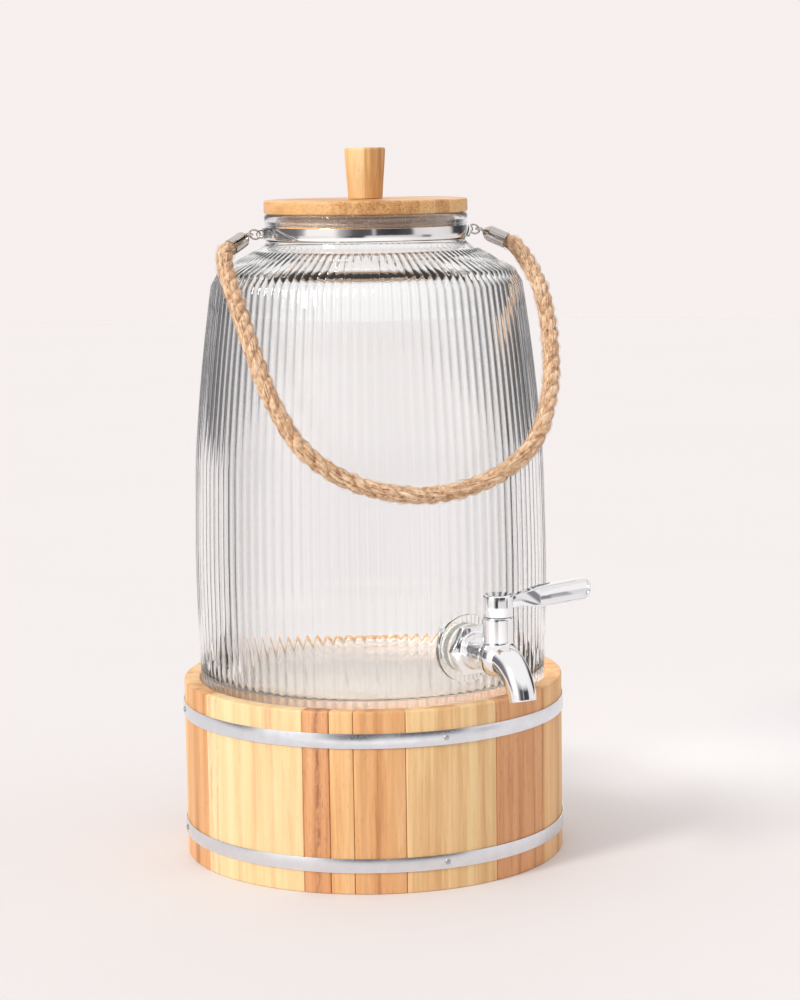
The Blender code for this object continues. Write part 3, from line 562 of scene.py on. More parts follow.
bambooKnob = woodFinish("bambooKnob", (0.52, 0.25, 0.085), (0.86, 0.52, 0.22), (0.97, 0.74, 0.42))
ribbedGlass = glassFinish("ribbedGlass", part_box("glass_jar")[0].z)
chrome = metalFinish("tapChrome", (0.90, 0.90, 0.91), 0.045, scale=400, bump=0.01, spread=0.02)
galvanised = metalFinish("galvanisedSteel", (0.80, 0.82, 0.86), 0.23, scale=1400, bump=0.06, spread=0.06,
                         tarnish=0.07)
nailSteel = metalFinish("nailSteel", (0.62, 0.62, 0.63), 0.35, bump=0.15, spread=0.1, tarnish=0.25)
polishedSteel = metalFinish("polishedSteel", (0.80, 0.79, 0.78), 0.09, (1, 1, 4), 700, 0.02, 0.04)
linkSteel = metalFinish("linkSteel", (0.60, 0.565, 0.53), 0.12, scale=700, bump=0.03, tarnish=0.1)
machinedSteel = metalFinish("machinedSteel", (0.66, 0.66, 0.67), 0.25, scale=1200, bump=0.06, spread=0.08)
silicone = siliconeFinish("whiteSilicone", (0.90, 0.88, 0.84), (0.97, 0.96, 0.93), 0.25)
# the seal's warm brown colours are a painted reflection of the bamboo plug
sealSilicone = siliconeFinish("sealSilicone", (0.90, 0.66, 0.50), (0.97, 0.80, 0.66), 0.55)
rubber = rubberFinish("blackRubber")
jute = juteFinish("juteRope")
print("dispenser: finishes made")


# rope handle, the only cord
ropeSizes = {"diameter": 0.0100, "layLength": 0.0258, "strands": 3, "strandRadius": 0.0028, "yarns": 9,
             "yarnGroove": 0.09, "pathPoints": 60, "step": 0.0011, "tuck": 0.004, "taper": 0.009, "gripped": 0.72,
             "counterTwist": 0.8, "sectionPoints": 27, "lumps": 0.0005, "lumpScale": 420, "hairs": 3200,
             "hairLength": 0.0068, "hairRadius": 0.00007, "hairStray": 0.55, "seed": 4}
sleeveSizes = {"eye": 0.0709, "start": 0.0028, "end": 0.0180, "radius": 0.0048, "aim": (0.76, -0.52, -0.39),
               "wall": 0.0007, "floor": 0.0070, "shoulder": 0.0062, "tip": 0.0019, "pinStart": 0.0021,
               "pinEnd": 0.0040, "pinRadii": (0.0011, 0.0010), "plate": 0.0008, "eyeRadius": 0.0019,
               "eyeRim": 0.00065, "tabTilt": 105.0, "edge": 0.00025, "seam": (0.0011, 0.0080, 0.0160),
               "seamAt": 0.0125, "seamDepth": 0.0045}
# half the route from the right-hand sleeve to the lowest point: out along the hinge, back, up
ropeHalfRoute = ((0.0912, -0.0215, -0.0160), (0.0922, -0.0360, -0.0260), (0.0915, -0.0530, -0.0400),
                 (0.0885, -0.0710, -0.0630), (0.0825, -0.0860, -0.0885), (0.0700, -0.0990, -0.1140),
                 (0.0500, -0.1064, -0.1305), (0.0260, -0.1096, -0.1398), (0.0, -0.1104, -0.1430))


def ropePath():
    aim = Vector(sleeveSizes["aim"]).normalized()
    mouth = Vector((sleeveSizes["eye"], 0, 0)) + aim * (sleeveSizes["end"] + 0.0006)
    half = [mouth + aim * out for out in (-ropeSizes["tuck"], 0.0, 0.003, 0.006)]
    half += [Vector(point) for point in ropeHalfRoute]
    mirrored = [Vector((-x, y, z)) for x, y, z in half[-2::-1]]
    return [atHandle @ point for point in smoothLine(half + mirrored, ropeSizes["pathPoints"])]


def strayHairs(tree, given, skin):
    # thin bent fibres, lying mostly along the rope
    points = addNode(tree, "GeometryNodeDistributePointsOnFaces", {"Mesh": skin, "Density": given["Hairs"],
                                                                   "Seed": given["Seed"]})
    line = result(tree, "GeometryNodeCurvePrimitiveBezierSegment",
                  {"Resolution": 4, "Start": (-0.5, 0, -0.05), "Start Handle": (-0.2, 0.05, 0.12),
                   "End Handle": (0.2, -0.04, 0.16), "End": (0.5, 0.05, 0.02)})
    length = given["Hair Length"]
    line = result(tree, "GeometryNodeTransform", {"Geometry": line, "Scale": vectorOf(tree, length, length, length)})
    section = result(tree, "GeometryNodeCurvePrimitiveCircle", {"Resolution": 3, "Radius": given["Hair Radius"]})
    hair = result(tree, "GeometryNodeCurveToMesh", {"Curve": line, "Profile Curve": section, "Fill Caps": True})
    stray = ropeSizes["hairStray"]
    stray = result(tree, "FunctionNodeRandomValue", {0: (-stray,) * 3, 1: (stray,) * 3, "Seed": given["Seed"]},
                   data_type="FLOAT_VECTOR")
    lean = vector2(tree, "ADD", recalled(tree, "ropeTangent", "FLOAT_VECTOR"), stray)
    turn = result(tree, "FunctionNodeAlignRotationToVector", {"Rotation": points.outputs["Rotation"],
                                                              "Vector": lean}, axis="X", pivot_axis="Z")
    size = addNode(tree, "FunctionNodeRandomValue", {2: 0.45, 3: 1.25, "Seed": given["Seed"]},
                   data_type="FLOAT").outputs[1]
    return result(tree, "GeometryNodeInstanceOnPoints", {"Points": points.outputs[0], "Instance": hair,
                                                         "Rotation": turn, "Scale": vectorOf(tree, size, size, size)})


def twistedRopeTree():
    tree, given = newTree("TwistedRope", Float=("Rope Radius", "Strand Radius", "Lay Length", "Yarn Groove",
                                                "Taper Length", "Step", "Hairs", "Hair Length", "Hair Radius"),
                          Int=("Strands", "Yarns", "Seed"), Material=("Material",))
    s = SimpleNamespace(**ropeSizes)
    fine = result(tree, "GeometryNodeResampleCurve", {"Curve": given["Geometry"], "Length": given["Step"]},
                  mode="LENGTH")
    copies = addNode(tree, "GeometryNodeDuplicateElements", {"Geometry": fine, "Amount": given["Strands"]},
                     domain="SPLINE")
    strand = copies.outputs["Duplicate Index"]
    length = addNode(tree, "GeometryNodeSplineParameter").outputs["Length"]
    turns = plus(tree, divided(tree, length, given["Lay Length"]), divided(tree, strand, given["Strands"]))
    angle = times(tree, turns, 2 * pi)
    # thinner for a short way at both ends, where the sleeves grip
    whole = addNode(tree, "GeometryNodeSplineLength").outputs["Length"]
    fromEnd = math2(tree, "MINIMUM", length, minus(tree, whole, length))
    grip = ranged(tree, fromEnd, 0.0, given["Taper Length"], s.gripped, 1.0, "SMOOTHSTEP")
    normal = result(tree, "GeometryNodeInputNormal")
    tangent = result(tree, "GeometryNodeInputTangent")
    binormal = vector2(tree, "CROSS_PRODUCT", tangent, normal)
    reach = times(tree, minus(tree, given["Rope Radius"], given["Strand Radius"]), grip)
    offset = vector2(tree, "ADD", scaled(tree, normal, times(tree, math2(tree, "COSINE", angle), reach)),
                     scaled(tree, binormal, times(tree, math2(tree, "SINE", angle), reach)))
    kept = noted(tree, copies.outputs[0], "alongStrand", length)
    kept = noted(tree, kept, "ropeGrip", grip)
    kept = noted(tree, kept, "ropeTangent", tangent, "FLOAT_VECTOR")
    kept = noted(tree, kept, "strandDepth", strand)
    twist = times(tree, divided(tree, recalled(tree, "alongStrand"), given["Lay Length"]), -2 * pi * s.counterTwist)
    wound = result(tree, "GeometryNodeSetCurveTilt", {"Curve": shifted(tree, kept, offset), "Tilt": twist})
    # strand section: a circle with one lobe for each yarn
    section = result(tree, "GeometryNodeCurvePrimitiveCircle", {"Resolution": s.sectionPoints, "Radius": 1.0})
    here = result(tree, "GeometryNodeInputPosition")
    x, y, z = partsOf(tree, here)
    turn = math2(tree, "ARCTAN2", y, x)
    lobe = math2(tree, "ABSOLUTE", math2(tree, "COSINE", times(tree, turn, times(tree, given["Yarns"], 0.5))))
    dip = times(tree, minus(tree, lobe, 1.0), given["Yarn Groove"])
    section = noted(tree, shifted(tree, section, scaled(tree, here, dip)), "aroundStrand", turn)
    thickness = times(tree, recalled(tree, "ropeGrip"), given["Strand Radius"])
    strands = result(tree, "GeometryNodeCurveToMesh", {"Curve": wound, "Scale": thickness, "Profile Curve": section,
                                                       "Fill Caps": True})
    # small lumps, as hand-spun fibre has
    lumps = result(tree, "ShaderNodeTexNoise", {"Scale": s.lumpScale, "Detail": 2.0, "W": s.seed},
                   noise_dimensions="4D")
    face = result(tree, "GeometryNodeInputNormal")
    skin = shifted(tree, strands, scaled(tree, face, times(tree, minus(tree, lumps, 0.5), s.lumps)))
    everything = tree.nodes.new("GeometryNodeJoinGeometry")
    for part in (strayHairs(tree, given, skin), skin):
        tree.links.new(part, everything.inputs[0])
    return endTree(tree, everything.outputs[0], given["Material"])


def lineLength(points):
    return sum((second - first).length for first, second in zip(points, points[1:]))


def makeRope(route):
    s = SimpleNamespace(**ropeSizes)
    curve = bpy.data.curves.new("rope_handle_visual", "CURVE")
    curve.dimensions = "3D"
    spline = curve.splines.new("POLY")
    spline.points.add(len(route) - 1)
    for point, here in zip(spline.points, route):
        point.co = (*here, 1)
    rope = grown(addObject("rope_handle_visual", curve), twistedRopeTree(), {
        "Rope Radius": s.diameter / 2, "Strand Radius": s.strandRadius, "Strands": s.strands,
        "Lay Length": s.layLength, "Yarns": s.yarns, "Yarn Groove": s.yarnGroove, "Taper Length": s.taper,
        "Step": s.step, "Hairs": s.hairs / (3 * pi * s.strandRadius * 2 * lineLength(route)),
        "Hair Length": s.hairLength, "Hair Radius": s.hairRadius, "Seed": s.seed, "Material": jute}, sharp=180)
    return finished(rope, "handle", jute)


def makeFerrule(node, side):
    # a rolled sleeve with a seam along it, a pinched neck and a flat tab with an eye
    s = SimpleNamespace(**sleeveSizes)
    aim = Vector((side * s.aim[0], s.aim[1], s.aim[2])).normalized()
    eye = Vector((side * s.eye, 0, 0))
    turn = aim.to_track_quat("Z", "Y").to_matrix().to_4x4()
    place = atHandle @ moved(*eye)
    bore, rim, half = s.radius - s.wall, s.eyeRadius + s.eyeRim, s.plate / 2
    sleeve = lathed(node + "_visual", rounded((
        (0, s.floor, 0), (bore, s.floor, 0.0006), (bore, s.end, 0.0002), (s.radius, s.end, 0.0003),
        (s.radius, s.shoulder, 0.0016), (s.tip, s.start, 0.0008), (0, s.start, 0))), 64, place @ turn)
    neck = lathed("neck", ((0, s.pinEnd), (s.pinRadii[0], s.pinEnd), (s.pinRadii[1], s.pinStart), (0, s.pinStart)),
                  20, place @ turn)
    tab = lathed("tab", rounded([(r, z, s.edge) for r, z in ((s.eyeRadius, half), (rim, half), (rim, -half),
                                                             (s.eyeRadius, -half))], closed=True),
                 40, place @ rolled(s.tabTilt + 90, "X"), closed=True)
    seamPlace = atHandle @ moved(*(eye + aim * s.seamAt + Vector((0, -s.seamDepth, 0)))) @ turn
    sleeve = combined(sleeve, [tab, neck], "UNION")
    sleeve = combined(sleeve, [boxed("seam", s.seam, seamPlace)], "DIFFERENCE")
    return finished(sleeve, "handle", linkSteel)


route = ropePath()
rope = makeRope(route)
print("dispenser: rope made,", len(rope.data.polygons), "faces, length", round(lineLength(route), 4))
ferrules = [makeFerrule("ferrule_right", 1), makeFerrule("ferrule_left", -1)]


# jar
jarSizes = {"ribs": 110, "ribDepth": 0.00095, "stepsPerRib": 6, "fadeFrom": 0.0655, "fadeTo": 0.0680,
            "wall": 0.0040, "outerPoints": 26, "innerPoints": 12, "floor": 0.1085, "bottom": 0.0936,
            "footHollow": 0.0010, "neckBore": 0.0535, "neckRadius": 0.0590, "neckFoot": 0.3640, "lipRadius": 0.0600,
            "lipBottom": 0.3740, "lipTop": 0.3804, "padRadius": 0.0195, "padDepth": 0.0037, "holeRadius": 0.0083,
            "holeReach": (0.004, -0.012)}
# outside of the wall from the shoulder down to the foot: radius and height of the rib crests
jarWallLine = ((0.0875, 0.3475), (0.0907, 0.3448), (0.0922, 0.3390), (0.0937, 0.3290), (0.0976, 0.2990),
               (0.1007, 0.2700), (0.1033, 0.2400), (0.1042, 0.2100), (0.1048, 0.1800), (0.1046, 0.1500),
               (0.1037, 0.1190), (0.1032, 0.1030))


def ribTree():
    tree, given = newTree("UprightRibs", Float=("Rib Depth", "Fade From", "Fade To"), Int=("Ribs",),
                          Material=("Material",))
    x, y, z = partsOf(tree, result(tree, "GeometryNodeInputPosition"))
    turn = math2(tree, "ARCTAN2", y, x)
    lobe = math2(tree, "ABSOLUTE", math2(tree, "COSINE", times(tree, turn, times(tree, given["Ribs"], 0.5))))
    flat = vectorOf(tree, x, y)
    radius = addNode(tree, "ShaderNodeVectorMath", {0: flat}, operation="LENGTH").outputs["Value"]
    fade = ranged(tree, radius, given["Fade From"], given["Fade To"], 0.0, 1.0, "SMOOTHSTEP")
    depth = times(tree, times(tree, fade, recalled(tree, "outerWall")), given["Rib Depth"])
    inward = times(tree, minus(tree, lobe, 1.0), depth)
    offset = scaled(tree, vector2(tree, "NORMALIZE", flat), inward)
    return endTree(tree, shifted(tree, given["Geometry"], offset), given["Material"])


def jarOutline():
    # from the middle of the floor up inside, over the lip and down outside; and which points carry the ribs
    s = SimpleNamespace(**jarSizes)
    outer = [(p.x, p.y) for p in smoothLine([(r, z, 0) for r, z in jarWallLine], s.outerPoints)]
    shoulder = rounded(((s.neckRadius, s.lipBottom, 0.0006), (s.neckRadius, 0.3626, 0.0030),
                        (0.0655, 0.3598, 0.001), (*outer[0], 0)))[1:-1]
    start, end = Vector(shoulder[-1]), Vector(outer[0])
    shoulder += [tuple(start.lerp(end, share)) for share in (0.05, 0.09, 0.13, 0.25, 0.45, 0.7)]
    lip = rounded(((s.neckBore, s.neckFoot, 0), (s.neckBore, s.lipTop, 0.0014), (s.lipRadius, s.lipTop, 0.0014),
                   (s.lipRadius, s.lipBottom, 0.0010), (s.neckRadius, s.lipBottom, 0)))[1:]
    inner = [(p.x - s.wall, p.y) for p in smoothLine([(r, z, 0) for r, z in jarWallLine[2:-2]], s.innerPoints)]
    inside = rounded(((0, s.floor, 0), (0.0930, s.floor, 0), (inner[-1][0], s.floor, 0.0075), (*inner[-1], 0)),
                     steps=5)[:-1]
    inside += inner[::-1]
    inside += rounded(((*inner[0], 0), (0.0850, 0.3440, 0.004), (0.0560, 0.3580, 0.004),
                       (s.neckBore, s.neckFoot, 0)))[1:]
    hollow = s.bottom + s.footHollow
    foot = rounded(((*outer[-1], 0), (0.1022, 0.0960, 0.003), (0.0985, s.bottom, 0.003), (0.0880, s.bottom, 0.001),
                    (0.0860, hollow, 0.001), (0, hollow, 0)))[1:]
    plain = inside + lip
    return plain + shoulder + outer + foot, range(len(plain), len(plain + shoulder + outer) + 4)


def makeJar():
    s = SimpleNamespace(**jarSizes)
    outline, ribbed = jarOutline()
    bm = turned(outline, s.ribs * s.stepsPerRib)
    mark = bm.verts.layers.float.new("outerWall")
    ribbedPoints = {(round(outline[i][0], 7), round(outline[i][1], 7)) for i in ribbed}
    for vert in bm.verts:
        vert[mark] = (round(hypot(vert.co.x, vert.co.y), 7), round(vert.co.z, 7)) in ribbedPoints
    jar = grown(built("glass_jar_visual", bm, sharp=60), ribTree(), {
        "Ribs": s.ribs, "Rib Depth": s.ribDepth, "Fade From": s.fadeFrom, "Fade To": s.fadeTo,
        "Material": ribbedGlass}, sharp=60)
    jar.data.transform(atAxis)
    pad = lathed("pad", rounded(((0, 0, 0), (s.padRadius, 0, 0.0006), (s.padRadius, -s.padDepth, 0),
                                 (0, -s.padDepth, 0))), 96, atTap)
    front, back = s.holeReach
    hole = lathed("hole", ((0, front), (s.holeRadius, front), (s.holeRadius, back), (0, back)), 64, atTap)
    jar = combined(jar, [pad], "UNION", 60)
    jar = combined(jar, [hole], "DIFFERENCE", 60)
    print("dispenser: jar made,", len(jar.data.polygons), "faces")
    return finished(jar, "body", ribbedGlass)


makeJar()


# stand
standSizes = {"height": 0.1053, "radius": 0.1135, "thickness": 0.0095, "shelfTop": 0.0933, "shelf": 0.0080,
              "groove": 0.0035, "gap": 0.0003, "edge": 0.0009, "start": -180, "step": 1.6,
              "eased": (0.0004, 0.0001), "easedOver": (0.12, 0.3)}
# width of each stave in degrees and how light or dark it is against its kind of wood
staveKinds = ((38, 0.02), (8, -0.04), (7, 0.02), (15, 0.0), (29, -0.10), (22, 0.03), (31, -0.05), (17, 0.02),
              (26, 0.0), (35, 0.03), (12, -0.04), (28, 0.0), (24, 0.02), (20, -0.03), (30, 0.04), (18, 0.0))
staveWoods = (("wood_honey", honeyWood), ("wood_light", lightWood), ("wood_brown", brownWood),
              ("wood_amber", amberWood))
oddStaves = {1: streakyWood, 2: heartWood}         # staves that show dark heart streaks


def makeStave(number, start, arc, shade):
    s = SimpleNamespace(**standSizes)
    inner = s.radius - s.thickness
    top, bottom = s.shelfTop + s.gap, s.shelfTop - s.shelf - s.gap
    groove = inner + s.groove
    outline = rounded(((inner, s.height, s.edge), (s.radius, s.height, s.edge * 1.4), (s.radius, 0.0, s.edge),
                       (inner, 0.0, s.edge), (inner, bottom, 0.0004), (groove, bottom, 0), (groove, top, 0),
                       (inner, top, 0.0004)), steps=3, closed=True)
    joint = degrees(s.gap / inner)
    low, high = start + joint / 2, start + arc - joint / 2
    count = max(3, round(arc / s.step))
    near, far = s.easedOver
    angles = [low, low + near] + [low + far + (high - low - 2 * far) * i / count for i in range(count + 1)]
    angles += [high - near, high]
    last = len(angles) - 1
    pull = {0: s.eased[0], 1: s.eased[1], last - 1: s.eased[1], last: s.eased[0]}   # eased upright edges
    frames = [(Vector((cos(radians(a)), sin(radians(a)), 0)), upright) for a in angles]
    middle = s.radius - s.thickness / 2

    def section(i):
        ease = pull.get(i, 0.0)
        return [(r - copysign(min(ease, abs(r - middle)), r - middle), z) for r, z in outline]

    stave = built(f"stave_{number:02d}_visual", swept([Vector((0, axisY, 0))] * len(angles), frames, section),
                  sharp=50)
    for label, value in (("plankSeed", number * 0.37), ("plankShade", shade)):
        layer = stave.data.attributes.new(label, "FLOAT", "POINT")
        layer.data.foreach_set("value", [value] * len(stave.data.vertices))
    slot, wood = staveWoods[(number * 5) % len(staveWoods)]
    return finished(stave, "body", oddStaves.get(number, wood))


staveStart = standSizes["start"]
for number, (arc, shade) in enumerate(staveKinds, 1):
    makeStave(number, staveStart, arc, shade)
    staveStart += arc
print("dispenser: staves made")

hoopSizes = {"thickness": 0.0007, "lapFrom": 158.0, "lapTo": 172.0, "ramp": 2.5, "edge": 0.0002, "steps": 220}


def hoopPlace(which):
    # outer radius, half height and middle of a hoop
    low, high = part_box(f"hoop_{which}")
    return (high.x - low.x) / 2, (high.z - low.z) / 2, Vector((0, axisY, (low.z + high.z) / 2))


def makeHoop(which):
    # one strip bent into a ring, its end lapped over its start
    s = SimpleNamespace(**hoopSizes)
    outside, tall, middle = hoopPlace(which)
    half = s.thickness / 2
    section = rounded([(x * half, z * tall, s.edge) for x, z in ((-1, -1), (1, -1), (1, 1), (-1, 1))],
                      steps=2, closed=True)
    sweep = 360 + s.lapTo - s.lapFrom
    line, frames = [], []
    for i in range(s.steps + 1):
        along = sweep * i / s.steps
        rise = min(1.0, max(0.0, (along - 360 + s.ramp) / s.ramp))
        rise = rise * rise * (3 - 2 * rise)
        turn = outward(s.lapFrom + along)
        side = Vector((cos(turn), sin(turn), 0))
        line.append(middle + side * (outside - half - s.thickness * (1 - rise)))
        frames.append((side, upright))
    hoop = built(f"hoop_{which}_visual", swept(line, frames, section), sharp=50)
    return finished(hoop, "body", galvanised)


for which in ("upper", "lower"):
    makeHoop(which)

nailSizes = {"azimuths": (-110, -10, 75, 165), "shank": 0.0007, "head": 0.0017, "dome": 0.00075, "length": 0.0065,
             "proud": 0.0001}


def nailTree():
    tree, given = newTree("HoopNails", Object=("Nail",), Material=("Material",))
    nail = addNode(tree, "GeometryNodeObjectInfo", {"Object": given["Nail"]}).outputs["Geometry"]
    turn = result(tree, "FunctionNodeAlignRotationToVector", {"Vector": recalled(tree, "outward", "FLOAT_VECTOR")},
                  axis="Z")
    nails = result(tree, "GeometryNodeInstanceOnPoints", {"Points": given["Geometry"], "Instance": nail,
                                                          "Rotation": turn})
    return endTree(tree, nails, given["Material"])


def makeNails():
    s = SimpleNamespace(**nailSizes)
    head = [(s.head * out, s.dome * up) for out, up in ((0, 1), (0.35, 0.95), (0.68, 0.72), (0.92, 0.3), (1, 0))]
    nail = lathed("nail", head + [(s.shank, 0.0), (s.shank, -s.length), (0, -s.length - 2 * s.shank)], 16)
    points, ways = [], []
    for which in ("upper", "lower"):
        outside, tall, middle = hoopPlace(which)
        for azimuth in s.azimuths:
            turn = outward(azimuth)
            side = Vector((cos(turn), sin(turn), 0))
            lapped = hoopSizes["lapFrom"] < azimuth < hoopSizes["lapTo"]
            points.append(middle + side * (outside + s.proud - (0 if lapped else hoopSizes["thickness"])))
            ways.append(side)
    mesh = bpy.data.meshes.new("hoop_nails")
    mesh.from_pydata(points, [], [])
    layer = mesh.attributes.new("outward", "FLOAT_VECTOR", "POINT")
    layer.data.foreach_set("vector", [part for way in ways for part in way])
    nails = grown(addObject("hoop_nails", mesh), nailTree(), {"Nail": nail, "Material": nailSteel})
    bpy.data.objects.remove(nail)
    names = [f"nail_{which}_{i}" for which in ("upper", "lower") for i in range(1, len(s.azimuths) + 1)]
    return finished(nails, "body", nailSteel, names)


makeNails()
for plank in ("shelf_left", "shelf_middle", "shelf_right"):
    painted(frame["nodes"][plank], shelfWood)
print("dispenser: hoops, nails and shelf made")


# tap
tapSizes = {"shank": 0.0079, "shankEnd": -0.0200, "threadPitch": 0.0016, "threadDepth": 0.0007,
            "flangeFrom": 0.0033, "flange": 0.0042, "flangeCorner": 0.0156, "chamferFrom": 0.0166,
            "chamferTo": 0.0137, "barrel": 0.0100, "collar": 0.0019, "stemOut": 0.0308, "ball": 0.0115,
            "chimney": 0.0084, "chimneyFrom": 0.004, "chimneyTop": 0.0230, "chamber": 0.0073,
            "chamberFloor": -0.009, "chamberTop": 0.04, "waterway": 0.005, "castSkin": 0.0003,
            "spoutWall": 0.0020, "voxel": 0.00042, "smooth": 5}
# spout: out from the pad, height above the tap's axis, outer radius
spoutLine = ((0.0318, -0.0002, 0.0097), (0.0365, -0.0007, 0.0097), (0.0425, -0.0029, 0.0094),
             (0.0488, -0.0082, 0.0088), (0.0532, -0.0152, 0.0082), (0.0548, -0.0212, 0.0078))


def spoutTube(name, thinner, extra, sides=64, count=36):
    line = smoothLine([(0, -out, up) for out, up, radius in spoutLine], count)
    radii = [point.x - thinner for point in smoothLine([(radius, 0, 0) for out, up, radius in spoutLine], count)]
    if extra:
        line.append(line[-1] + (line[-1] - line[-2]).normalized() * extra)
        radii.append(radii[-1])
    side = Vector((1, 0, 0))
    aheads = [line[min(i + 1, len(line) - 1)] - line[max(i - 1, 0)] for i in range(len(line))]
    frames = [(side, side.cross(ahead).normalized()) for ahead in aheads]
    return built(name, swept(line, frames, lambda i: circle(radii[i], sides)), moved(0, padFace, tapHeight))


def makeTapBody():
    s = SimpleNamespace(**tapSizes)
    stem = moved(0, padFace - s.stemOut, tapHeight)
    flangeEnd, collar, root = s.flangeFrom + s.flange, s.barrel + s.collar, s.flangeFrom + 0.0006
    rod = [(0, s.stemOut), (s.barrel, s.stemOut), (s.barrel, flangeEnd + 0.0016),
           (s.barrel + 0.0005, flangeEnd + 0.0006), (collar, flangeEnd - 0.0004), (collar, root), (s.shank, root)]
    z = 0.0
    while z > s.shankEnd + 0.0012:
        rod += [(s.shank, z), (s.shank - s.threadDepth, z - s.threadPitch / 2)]
        z -= s.threadPitch
    rod += [(s.shank - 0.0008, s.shankEnd), (0, s.shankEnd)]
    body = lathed("tap_body_visual", rod, 128, atTap)
    ball = bmesh.new()
    bmesh.ops.create_uvsphere(ball, u_segments=96, v_segments=48, radius=s.ball)
    chimney = lathed("chimney", rounded(((0, s.chimneyTop, 0), (s.chimney, s.chimneyTop, 0.0006),
                                         (s.chimney, s.chimneyFrom, 0), (0, s.chimneyFrom, 0))), 128, stem)
    body = combined(body, [built("ball", ball, stem), chimney, spoutTube("spout", s.castSkin, 0.0)], "UNION")
    # cast in one: the joins between the tubes are softened
    remesh = body.modifiers.new("cast", "REMESH")
    remesh.mode = "VOXEL"
    remesh.voxel_size = s.voxel
    relax = body.modifiers.new("polish", "SMOOTH")
    relax.factor = 0.5
    relax.iterations = s.smooth
    body = settled(body)
    hexagon = lathed("hexagon", ((0, s.flangeFrom), (s.flangeCorner, s.flangeFrom), (s.flangeCorner, flangeEnd),
                                 (0, flangeEnd)), 6, atTap)
    chamfer = lathed("chamfer", (
        (0, s.flangeFrom - 0.001), (s.chamferFrom, s.flangeFrom - 0.001), (s.chamferFrom, flangeEnd - 0.0017),
        (s.chamferTo, flangeEnd + 0.0001), (s.chamferTo, flangeEnd + 0.001), (0, flangeEnd + 0.001)), 96, atTap)
    body = combined(body, [combined(bevelled(hexagon, 0.0006), [chamfer], "INTERSECT")], "UNION")
    chamber = lathed("chamber", ((0, s.chamberFloor), (s.chamber, s.chamberFloor), (s.chamber, s.chamberTop),
                                 (0, s.chamberTop)), 64, stem)
    inletEnd = s.shankEnd - 0.01
    inlet = lathed("inlet", ((0, inletEnd), (s.waterway, inletEnd), (s.waterway, s.stemOut), (0, s.stemOut)),
                   48, atTap)
    body = combined(body, [chamber, inlet, spoutTube("outlet", s.spoutWall, 0.004, 40, 24)], "DIFFERENCE")
    return finished(body, "body", chrome)


leverSizes = {"thickness": 0.0050, "panelEdge": 0.0015, "panelDepth": 0.0008, "bevel": 0.0005, "stud": 0.0020,
              "studEnd": 0.0110, "socket": 0.0043, "socketDepth": 0.0097}
# lever outline: out from the stem's axis, middle height, half height
leverLine = ((0.0087, 0.0000, 0.0033), (0.0170, 0.0006, 0.0040), (0.0260, 0.0010, 0.0056),
             (0.0340, 0.0013, 0.0060), (0.0560, 0.0023, 0.0062))


def leverPlate(name, thickness, line, inset, place, arcSteps=24):
    smooth = smoothLine(line, 6 * len(line))
    above = [(p.x, p.y + p.z - inset) for p in smooth]
    below = [(p.x, p.y - p.z + inset) for p in smooth]
    above[0] = (above[0][0] + inset, above[0][1])
    below[0] = (below[0][0] + inset, below[0][1])
    out, middle, half = line[-1]
    angles = [-pi / 2 + pi * i / arcSteps for i in range(1, arcSteps)]
    arc = [(out + (half - inset) * cos(angle), middle + (half - inset) * sin(angle)) for angle in angles]
    bm = bmesh.new()
    face = bm.faces.new([bm.verts.new((x, -thickness / 2, z)) for x, z in below + arc + above[::-1]])
    front = bmesh.ops.extrude_face_region(bm, geom=[face])["geom"]
    bmesh.ops.translate(bm, vec=(0, thickness, 0), verts=[v for v in front if isinstance(v, bmesh.types.BMVert)])
    bmesh.ops.recalc_face_normals(bm, faces=bm.faces)
    return built(name, bm, place)


def makeLever():
    s = SimpleNamespace(**leverSizes)
    place = moved(*leverPlace)
    lever = leverPlate("tap_lever_visual", s.thickness, leverLine, 0.0, place)
    panels = [leverPlate("panel", 2 * s.panelDepth, leverLine[2:], s.panelEdge,
                         place @ moved(0, side * s.thickness / 2)) for side in (-1, 1)]
    lever = bevelled(combined(lever, panels, "DIFFERENCE"), s.bevel)
    stud = lathed("stud", ((0, s.socket), (s.stud, s.socket), (s.stud, s.studEnd), (0, s.studEnd)), 32,
                  place @ rolled(90, "Y"))
    return finished(combined(lever, [stud], "UNION"), "lever", chrome)


def makeHub():
    s = SimpleNamespace(**leverSizes)
    low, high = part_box("lever_hub")
    radius, foot, top = (high.x - low.x) / 2, low.z - tapHeight, high.z - tapHeight
    roof = foot + s.socketDepth
    turnedPiece("lever_hub", ((0, top, 0), (radius, top, 0.0013), (radius, foot, 0.0004), (s.socket, foot, 0),
                              (s.socket, roof, 0), (0, roof, 0)), atStem, "lever", chrome, closed=False)


washerSizes = {"bore": 0.0082, "radius": 0.0145, "thickness": 0.0027}


def makeWasher():
    s = SimpleNamespace(**washerSizes)
    top = washerGap + s.thickness
    turnedPiece("outer_washer", ((s.bore, washerGap, 0.0004), (s.radius, washerGap, 0.0009),
                                 (s.radius, top, 0.0009), (s.bore, top, 0.0004)),
                atTap, "body", silicone)


makeTapBody()
makeLever()
makeHub()
makeWasher()
innerParts = {"inner_washer": silicone, "stem_seal": rubber, "lock_nut": machinedSteel, "gland_nut": machinedSteel,
              "valve_core": machinedSteel, "knob_screw": machinedSteel, "clamp_screw": machinedSteel,
              "clamp_nut": machinedSteel}
for node, finish in innerParts.items():
    painted(frame["nodes"][node], finish)
print("dispenser: tap made")
